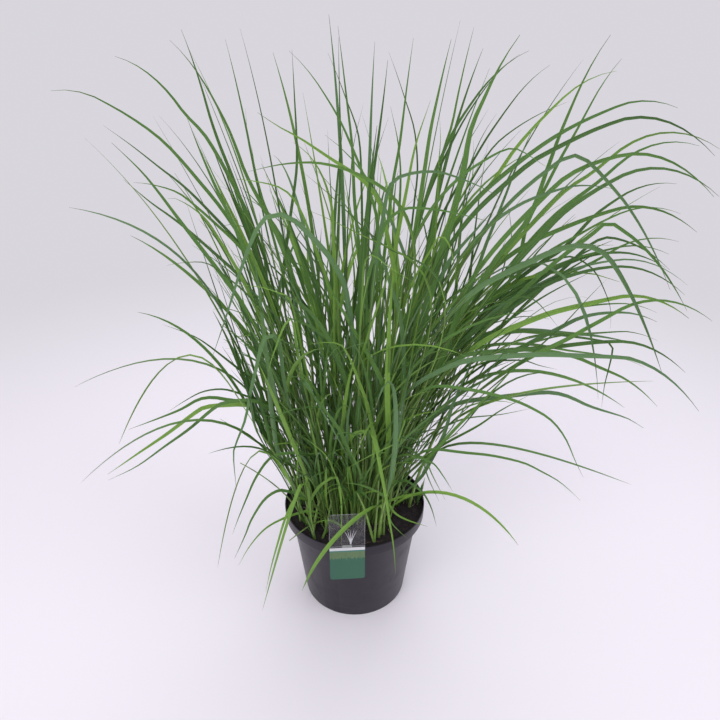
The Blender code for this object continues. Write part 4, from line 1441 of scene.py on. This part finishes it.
def has_room(points):
    """Whether a leaf keeps inside the CAD's box and the outline, and clear of the pot and the soil."""
    for point in points:
        if not in_box(point, BOX_MARGIN):
            return False
        far = math.hypot(point[0], point[1])
        if point[2] < (POT_CLEAR_HEIGHT if far < POT_CLEAR_RADIUS else GROUND_CLEARANCE):
            return False
        if not inside_outline(pixel_of(point)):
            return False
    return True


def grown_leaf(start, way, azimuth, length, lean, sag, chance):
    """A leaf grown from its fork: its own weight turns it further over on the way to its tip."""
    points = [start]
    steps = 12
    drift = chance.uniform(-0.5, 0.5)
    for step in range(steps):
        share = (step + 0.5) / steps
        over = lean + sag * share**1.5
        turn = azimuth + drift * share
        target = Vector((math.sin(over) * math.cos(turn), math.sin(over) * math.sin(turn), math.cos(over)))
        blend = min(share / 0.3, 1.0)
        points.append(points[-1] + (way * (1.0 - blend) + target * blend).normalized() * length / steps)
    return points


def shoot_leaves(ends, count, lengths, widths, chance):
    """Leaves on both sides of a stem, each one turned and bent at random until it has room."""
    outward = math.atan2(ends[1][1] + 0.01, ends[1][0])
    leaves = []
    for number in range(count):
        share = min(0.34 + 0.66 * (number + chance.uniform(0.0, 0.6)) / count, 1.0)
        side = outward + chance.uniform(0.1, 1.3) * (1 if number % 2 else -1)
        for _ in range(14):
            length = chance.uniform(*lengths) * (0.72 + 0.28 * share)
            lean = chance.uniform(0.10, 0.42)
            sag = chance.choice((0.25, 0.4, 0.6, 0.8, 1.1, 1.6))
            points = grown_leaf(
                stem_point(ends, share), stem_way(ends, share), side, length, lean, sag, chance
            )
            if has_room(points):
                break
            side += chance.uniform(-0.5, 0.5)
        else:
            continue
        points = as_rows(points)
        across = np.cross((math.cos(side), math.sin(side), 0.0), UP)
        upper = np.cross(across, tangents(points))
        spin = chance.uniform(-1.6, 1.6)
        lay = chance.uniform(-0.5, 0.5)
        width = chance.uniform(*widths)
        leaves.append(
            leaf_line(points, width, upper, lambda along: lay + spin * along, any_green(chance), chance)
        )
    return leaves


def stem_line(ends):
    return [stem_point(ends, step / (CULM_POINTS - 1)) for step in range(CULM_POINTS)]


def tall_shoot(stem, chance):
    """One more full-grown stem beside a CAD stem, with its leaves."""
    (x, y), top = STEMS[stem]
    swing = chance.uniform(0.0, math.tau)
    away = 0.024 * math.sqrt(chance.random())
    root = Vector((x + away * math.cos(swing), y + away * math.sin(swing)))
    root = off_bare_soil(root * min(1.0, 0.088 / root.length))
    end = Vector(top) + Vector((math.cos(swing), math.sin(swing), 0.0)) * away * 2.2
    end.z = 0.16 + (end.z - 0.16) * chance.uniform(0.55, 1.12)
    ends = (tuple(root), tuple(end))
    leaves = shoot_leaves(ends, chance.randint(4, 6), (0.20, 0.44), (0.0030, 0.0068), chance)
    return leaves, culm_line(stem_line(ends), chance.uniform(0.0011, 0.0017), chance)


def young_shoot(chance):
    """A low, thin shoot among the others, with narrow leaves."""
    turn = chance.uniform(0.0, math.tau)
    root = shoot_root(turn, 0.084 * math.sqrt(chance.random()))
    height = 0.04 + 0.22 * chance.random() ** 1.5
    end = Vector((*(root * (1.2 + height)), SOIL_EDGE_HEIGHT + height))
    ends = (tuple(root), tuple(end))
    leaves = shoot_leaves(ends, chance.randint(3, 5), (0.09, 0.16 + height), (0.0020, 0.0045), chance)
    return Vector((*root, 0.0)), leaves, culm_line(stem_line(ends), chance.uniform(0.0008, 0.0013), chance)


def straw(chance):
    """A thin stem without leaves of its own, which fans out with the others."""
    turn = chance.uniform(math.pi, math.tau)
    root = shoot_root(turn, 0.082 * math.sqrt(chance.random()))
    height = chance.uniform(0.10, 0.26)
    swing = Vector((chance.uniform(-0.012, 0.012), chance.uniform(-0.012, 0.012)))
    ends = (tuple(root), (*(root * (1.15 + 1.6 * height) + swing), SOIL_EDGE_HEIGHT + height))
    return Vector((*root, 0.0)), culm_line(stem_line(ends), chance.uniform(0.0009, 0.0015), chance, 0.6)


SHOOTS = {
    "left": 3,
    "left_front": 3,
    "left_back": 5,
    "back_left": 5,
    "back": 5,
    "back_right": 5,
    "right_back": 8,
    "right": 1,
    "inner_left": 4,
    "inner_back": 3,
    "inner_right": 1,
    "centre": 4,
    "front_right": 0,
    "front_left": 2,
}
YOUNG_SHOOTS = 110
STRAWS = 46


def make_grass():
    chance = random.Random(SEED)
    tree = sweep_tree()
    blade = leaf_finish()
    sheath = culm_finish()
    leaves = {stem: [] for stem in STEMS}
    culms = {stem: [] for stem in STEMS}
    for stem in STEMS:
        culms[stem].append(culm_line(stem_line(STEMS[stem]), STEM_BASE_RADIUS, chance))
        for place in FORKS:
            leaves[stem].append(cad_leaf_line(stem, place, chance))

    def plant(root, grown, culm=None):
        stem = nearest_stem(root)
        leaves[stem] += grown
        if culm:
            culms[stem].append(culm)

    for row in sum(SEEN_LEAVES.values(), ()):
        root, leaf, culm = seen_leaf(row, chance)
        plant(root, [leaf], culm)
    for pixels in SEEN_STEMS:
        root, culm = seen_stem(pixels, chance)
        plant(root, [], culm)
    for pixel in SPROUTS:
        plant(*sprout(pixel, chance))
    for stem, count in SHOOTS.items():
        for _ in range(count):
            grown, culm = tall_shoot(stem, chance)
            leaves[stem] += grown
            culms[stem].append(culm)
    for _ in range(YOUNG_SHOOTS):
        plant(*young_shoot(chance))
    for _ in range(STRAWS):
        root, culm = straw(chance)
        plant(root, [], culm)
    for stem in STEMS:
        mesh = swept(tree, leaves[stem], blade, 4, Fold=BLADE_FOLD, Wall=BLADE_WALL)
        nodes = [f"leaf_{stem}_{place}" for place in FORKS]
        add_piece(f"leaves_{stem}", mesh, blade, *nodes, slot="leaf")
        mesh = swept(tree, culms[stem], sheath, 2, Round=True, Sides=6)
        add_piece(f"culms_{stem}", mesh, sheath, f"stem_{stem}", slot="stem")
        print("GRASS", stem, len(leaves[stem]), "leaves", len(culms[stem]), "stems")


# Label


def label_outline():
    half = LABEL_WIDTH / 2
    outline = [
        (half, LABEL_TOP - LABEL_CORNER_CUT),
        (half - LABEL_CORNER_CUT / 2, LABEL_TOP),
        (-half + LABEL_CORNER_CUT / 2, LABEL_TOP),
        (-half, LABEL_TOP - LABEL_CORNER_CUT),
    ]
    for side, first in ((-1, math.pi), (1, 1.5 * math.pi)):
        centre = (side * (half - LABEL_CORNER_RADIUS), LABEL_BOTTOM + LABEL_CORNER_RADIUS)
        for step in range(9):
            angle = first + math.pi / 2 * step / 8
            outline.append(
                (
                    centre[0] + LABEL_CORNER_RADIUS * math.cos(angle),
                    centre[1] + LABEL_CORNER_RADIUS * math.sin(angle),
                )
            )
    return outline


def printed_tuft(x, z):
    """A plain printed mark: five blades that fan out from one root and thin towards their tips."""
    rise = (z - MARK_ROOT) / MARK_HEIGHT
    bend = rise.sum("MAXIMUM", 0.0) ** 1.35
    mark = z.above(MARK_ROOT)
    blades = 0.0
    for lean in (-1.0, -0.5, 0.0, 0.5, 1.0):
        off = (x - MARK_MIDDLE - bend * (lean * MARK_REACH)).sum("ABSOLUTE")
        blades = (rise * -MARK_STROKE + MARK_STROKE - off).step(0.0, 0.0003) + blades
    return mark * blades.sum("MINIMUM", 1.0)


# Heights of the label's printed parts
MEADOW_TOP = 0.1405
MEADOW_JAG = 0.016
BAND_FROM = 0.1604
STRIP_FROM = 0.1628
CLEAR_FROM = 0.1678
HAIRLINE_FROM = 0.1700
HAIRLINE_TO = 0.1705
PRINT_EDGE = 0.0002
HAIRLINE_EDGE = 0.0001


def label_finish():
    """Clear film with a printed tuft and a painted highlight along its sides and top edge, and below it a
    pale strip and a panel of green meadow.
    """
    finish = Finish("label_print", 0.22, Specular_IOR_Level=0.55)
    back = (0.0, 0.0, -LABEL_TURN)
    turned = finish.node("ShaderNodeMapping", "Vector", Vector=finish.place, Rotation=back)
    parts = finish.add("ShaderNodeSeparateXYZ")
    finish.feed(parts.inputs[0], turned)
    x = Value(finish, parts.outputs[0]) - LABEL_SHIFT
    z = Value(finish, parts.outputs[2])
    along_x = {"noise_dimensions": "1D"}
    jagged = finish.node("ShaderNodeTexNoise", "Fac", along_x, W=x, Scale=420.0, Detail=2.0)
    meadow_top = jagged * MEADOW_JAG + MEADOW_TOP
    panel = finish.blend((meadow_top - z).step(0.0, 0.0006), (0.100, 0.175, 0.074), (0.020, 0.112, 0.064))
    grass = finish.stretched(700.0, 700.0, 60.0)
    stalks = finish.node("ShaderNodeTexNoise", "Fac", Vector=grass, Scale=1.0, Detail=3.0)
    panel = finish.blend(stalks.step(0.55, 0.68) * 0.35, panel, (0.016, 0.086, 0.050))
    panel = finish.blend(z.step(BAND_FROM, BAND_FROM + PRINT_EDGE), panel, (0.045, 0.180, 0.150))
    face = finish.blend(z.step(STRIP_FROM, STRIP_FROM + PRINT_EDGE), panel, (0.640, 0.640, 0.660))
    clear = z.step(CLEAR_FROM, CLEAR_FROM + PRINT_EDGE)
    hairline_end = z.step(HAIRLINE_TO, HAIRLINE_TO + HAIRLINE_EDGE)
    hairline = z.step(HAIRLINE_FROM, HAIRLINE_FROM + HAIRLINE_EDGE) * (1.0 - hairline_end) * 0.6
    # Painted highlight: a pale band along the film's sides and top edge, where the clear plastic catches
    # light
    edge = x.sum("ABSOLUTE").step(LABEL_WIDTH / 2 - 0.0008, LABEL_WIDTH / 2 - 0.0003) * 0.5
    edge = edge + z.step(LABEL_TOP - 0.0009, LABEL_TOP - 0.0004) * 0.5
    print_and_edge_glint = (hairline + edge + printed_tuft(x, z)).sum("MINIMUM", 1.0)
    dust = finish.speckle(45.0, 4.0, 0.6)
    film = finish.blend(dust.step(0.4, 0.7), (0.170, 0.168, 0.185), (0.230, 0.228, 0.245))
    film = finish.blend(print_and_edge_glint, film, (0.620, 0.620, 0.640))
    finish.color(finish.blend(clear, face, film))
    alpha = 1.0 - clear * (0.86 - print_and_edge_glint * 0.72 - dust.step(0.45, 0.75) * 0.05)
    finish.feed(finish.shader.inputs["Alpha"], alpha)
    finish.roughness(dust * 0.12 + 0.16)
    finish.relief(dust, 0.00002)
    return finish.material


def make_label():
    turn = Matrix.Rotation(LABEL_TURN, 4, "Z") @ Matrix.Translation((LABEL_SHIFT, 0.0, 0.0))
    card = prism(label_outline(), lambda x, z: (x, LABEL_FRONT, z), (0.0, LABEL_THICKNESS, 0.0))
    card.transform(turn)
    holder = scratch_object(mesh_from(card))
    ride = POT_HEIGHT + 2 * GAP
    inner = LABEL_FRONT + HOOK_REACH
    tab = [
        (LABEL_FRONT + LABEL_THICKNESS / 2, ride),
        (LABEL_FRONT + LABEL_THICKNESS / 2, ride + LABEL_THICKNESS),
        (inner + LABEL_THICKNESS, ride + LABEL_THICKNESS),
        (inner + LABEL_THICKNESS, ride - HOOK_DROP),
        (inner, ride - HOOK_DROP),
        (inner, ride),
    ]
    hook = prism(tab, lambda y, z: (-HOOK_WIDTH / 2, y, z), (HOOK_WIDTH, 0.0, 0.0))
    hook.transform(turn)
    tool = cut(holder, mesh_from(hook), "UNION")
    mesh = settled(holder, tool)
    add_piece("label_card", mesh, label_finish(), "label", slot="label_film")


# Crumbs and fibres on the soil


def make_litter(peat):
    top = lathe([(0.0, 0.0), (SOIL_REACH - 0.004, 0.0)], 48)
    bmesh.ops.subdivide_edges(top, edges=top.edges, cuts=5, use_grid_fill=True)
    for vertex in top.verts:
        vertex.co.z = soil_height(vertex.co.x, vertex.co.y) + peat_lift(vertex.co.x, vertex.co.y)
    surface = bpy.data.meshes.new("strewn")
    top.to_mesh(surface)
    top.free()
    mesh = crumb_tree().run(surface, Material=peat, Density=CRUMB_DENSITY, Size=CRUMB_SIZE)
    add_piece("peat_crumbs", mesh, peat, slot="peat")

    chance = random.Random(SEED + 1)
    fibres = []
    for _ in range(FIBRES):
        angle = chance.uniform(0.0, math.tau)
        far = FIBRE_ROOTS_WITHIN * math.sqrt(chance.random())
        heading = chance.uniform(0.0, math.tau)
        length = chance.uniform(0.006, 0.024)
        x, y = far * math.cos(angle), far * math.sin(angle)
        points = []
        for _ in range(FIBRE_POINTS):
            points.append(Vector((x, y, soil_height(x, y) + max(peat_lift(x, y), 0.0) + 0.0007)))
            heading += chance.uniform(-0.5, 0.5)
            x += math.cos(heading) * length / (FIBRE_POINTS - 1)
            y += math.sin(heading) * length / (FIBRE_POINTS - 1)
        if max(point.xy.length for point in points) > FIBRE_ENDS_WITHIN:
            continue
        share = np.linspace(0.0, 1.0, FIBRE_POINTS)
        fibres.append(
            {
                "points": as_rows(points),
                "half_width": chance.uniform(0.00018, 0.00042) * (1.0 - 0.6 * share),
                "width_way": np.tile((0.0, 0.0, 1.0), (FIBRE_POINTS, 1)),
                "along": share,
                "tone": chance.random() ** 2,
            }
        )
    finish = fibre_finish()
    mesh = swept(sweep_tree(), fibres, finish, 2, Round=True, Sides=5)
    add_piece("root_fibres", mesh, finish, slot="peat")


# Camera, floor and light

BACKDROP = (0.690, 0.670, 0.720)


def make_camera():
    camera = bpy.data.objects.new("camera", bpy.data.cameras.new("camera"))
    camera.data.sensor_width = SENSOR_MM
    camera.data.lens = LENS_MM
    camera.location = CAMERA_PLACE
    camera.rotation_euler = (math.pi / 2 - CAMERA_DOWN, 0.0, 0.0)
    camera.data.clip_start = 0.02
    put_in_scene(camera)
    bpy.context.scene.camera = camera


def make_floor():
    """A pale floor that fades into the studio's backdrop with distance, so that no edge shows."""
    built = bmesh.new()
    bmesh.ops.create_circle(built, cap_ends=True, segments=96, radius=14.0)
    floor = bpy.data.objects.new("studio_floor", mesh_from(built))
    finish = Finish("floor_pale", 0.75)
    finish.color(finish.blend(finish.speckle(3.0, 3.0) * 0.5, (0.855, 0.824, 0.880), (0.835, 0.806, 0.866)))
    far = finish.node("ShaderNodeVectorMath", "Value", {"operation": "LENGTH"}, Vector=finish.place)
    glow = finish.node("ShaderNodeEmission", 0, Color=(*BACKDROP, 1.0))
    mixer = finish.add("ShaderNodeMixShader")
    finish.feed(mixer.inputs[0], far.step(0.35, 2.0))
    finish.tree.links.new(finish.shader.outputs[0], mixer.inputs[1])
    finish.feed(mixer.inputs[2], glow)
    finish.tree.links.new(mixer.outputs[0], finish.tree.nodes["Material Output"].inputs[0])
    floor.data.materials.append(finish.material)
    put_in_scene(floor)


def add_softbox(name, place, aim, size, power, color):
    light = bpy.data.lights.new(name, "AREA")
    light.shape = "RECTANGLE"
    light.size, light.size_y = size
    light.energy = power
    light.color = color
    holder = bpy.data.objects.new(name, light)
    holder.location = place
    holder.rotation_euler = (Vector(aim) - Vector(place)).to_track_quat("-Z", "Y").to_euler()
    holder.visible_camera = False
    put_in_scene(holder)


def make_light():
    world = bpy.data.worlds.new("studio")
    world.use_nodes = True
    background = world.node_tree.nodes["Background"]
    background.inputs["Color"].default_value = (*BACKDROP, 1.0)
    background.inputs["Strength"].default_value = 1.0
    bpy.context.scene.world = world
    add_softbox("soft_key", (-1.6, -3.2, 4.0), (0.0, 0.0, 0.35), (3.6, 3.0), 95.0, (1.0, 0.985, 0.965))
    add_softbox("soft_fill", (3.6, -1.8, 3.2), (0.0, 0.0, 0.35), (3.0, 3.0), 40.0, (0.96, 0.98, 1.0))
    add_softbox("soft_back", (0.6, 3.8, 4.2), (0.0, 0.0, 0.40), (4.0, 3.0), 60.0, (1.0, 1.0, 1.0))
    bpy.context.scene.view_settings.view_transform = "Standard"


make_camera()
make_floor()
make_light()
make_pot()
make_litter(make_peat())
make_label()
make_grass()
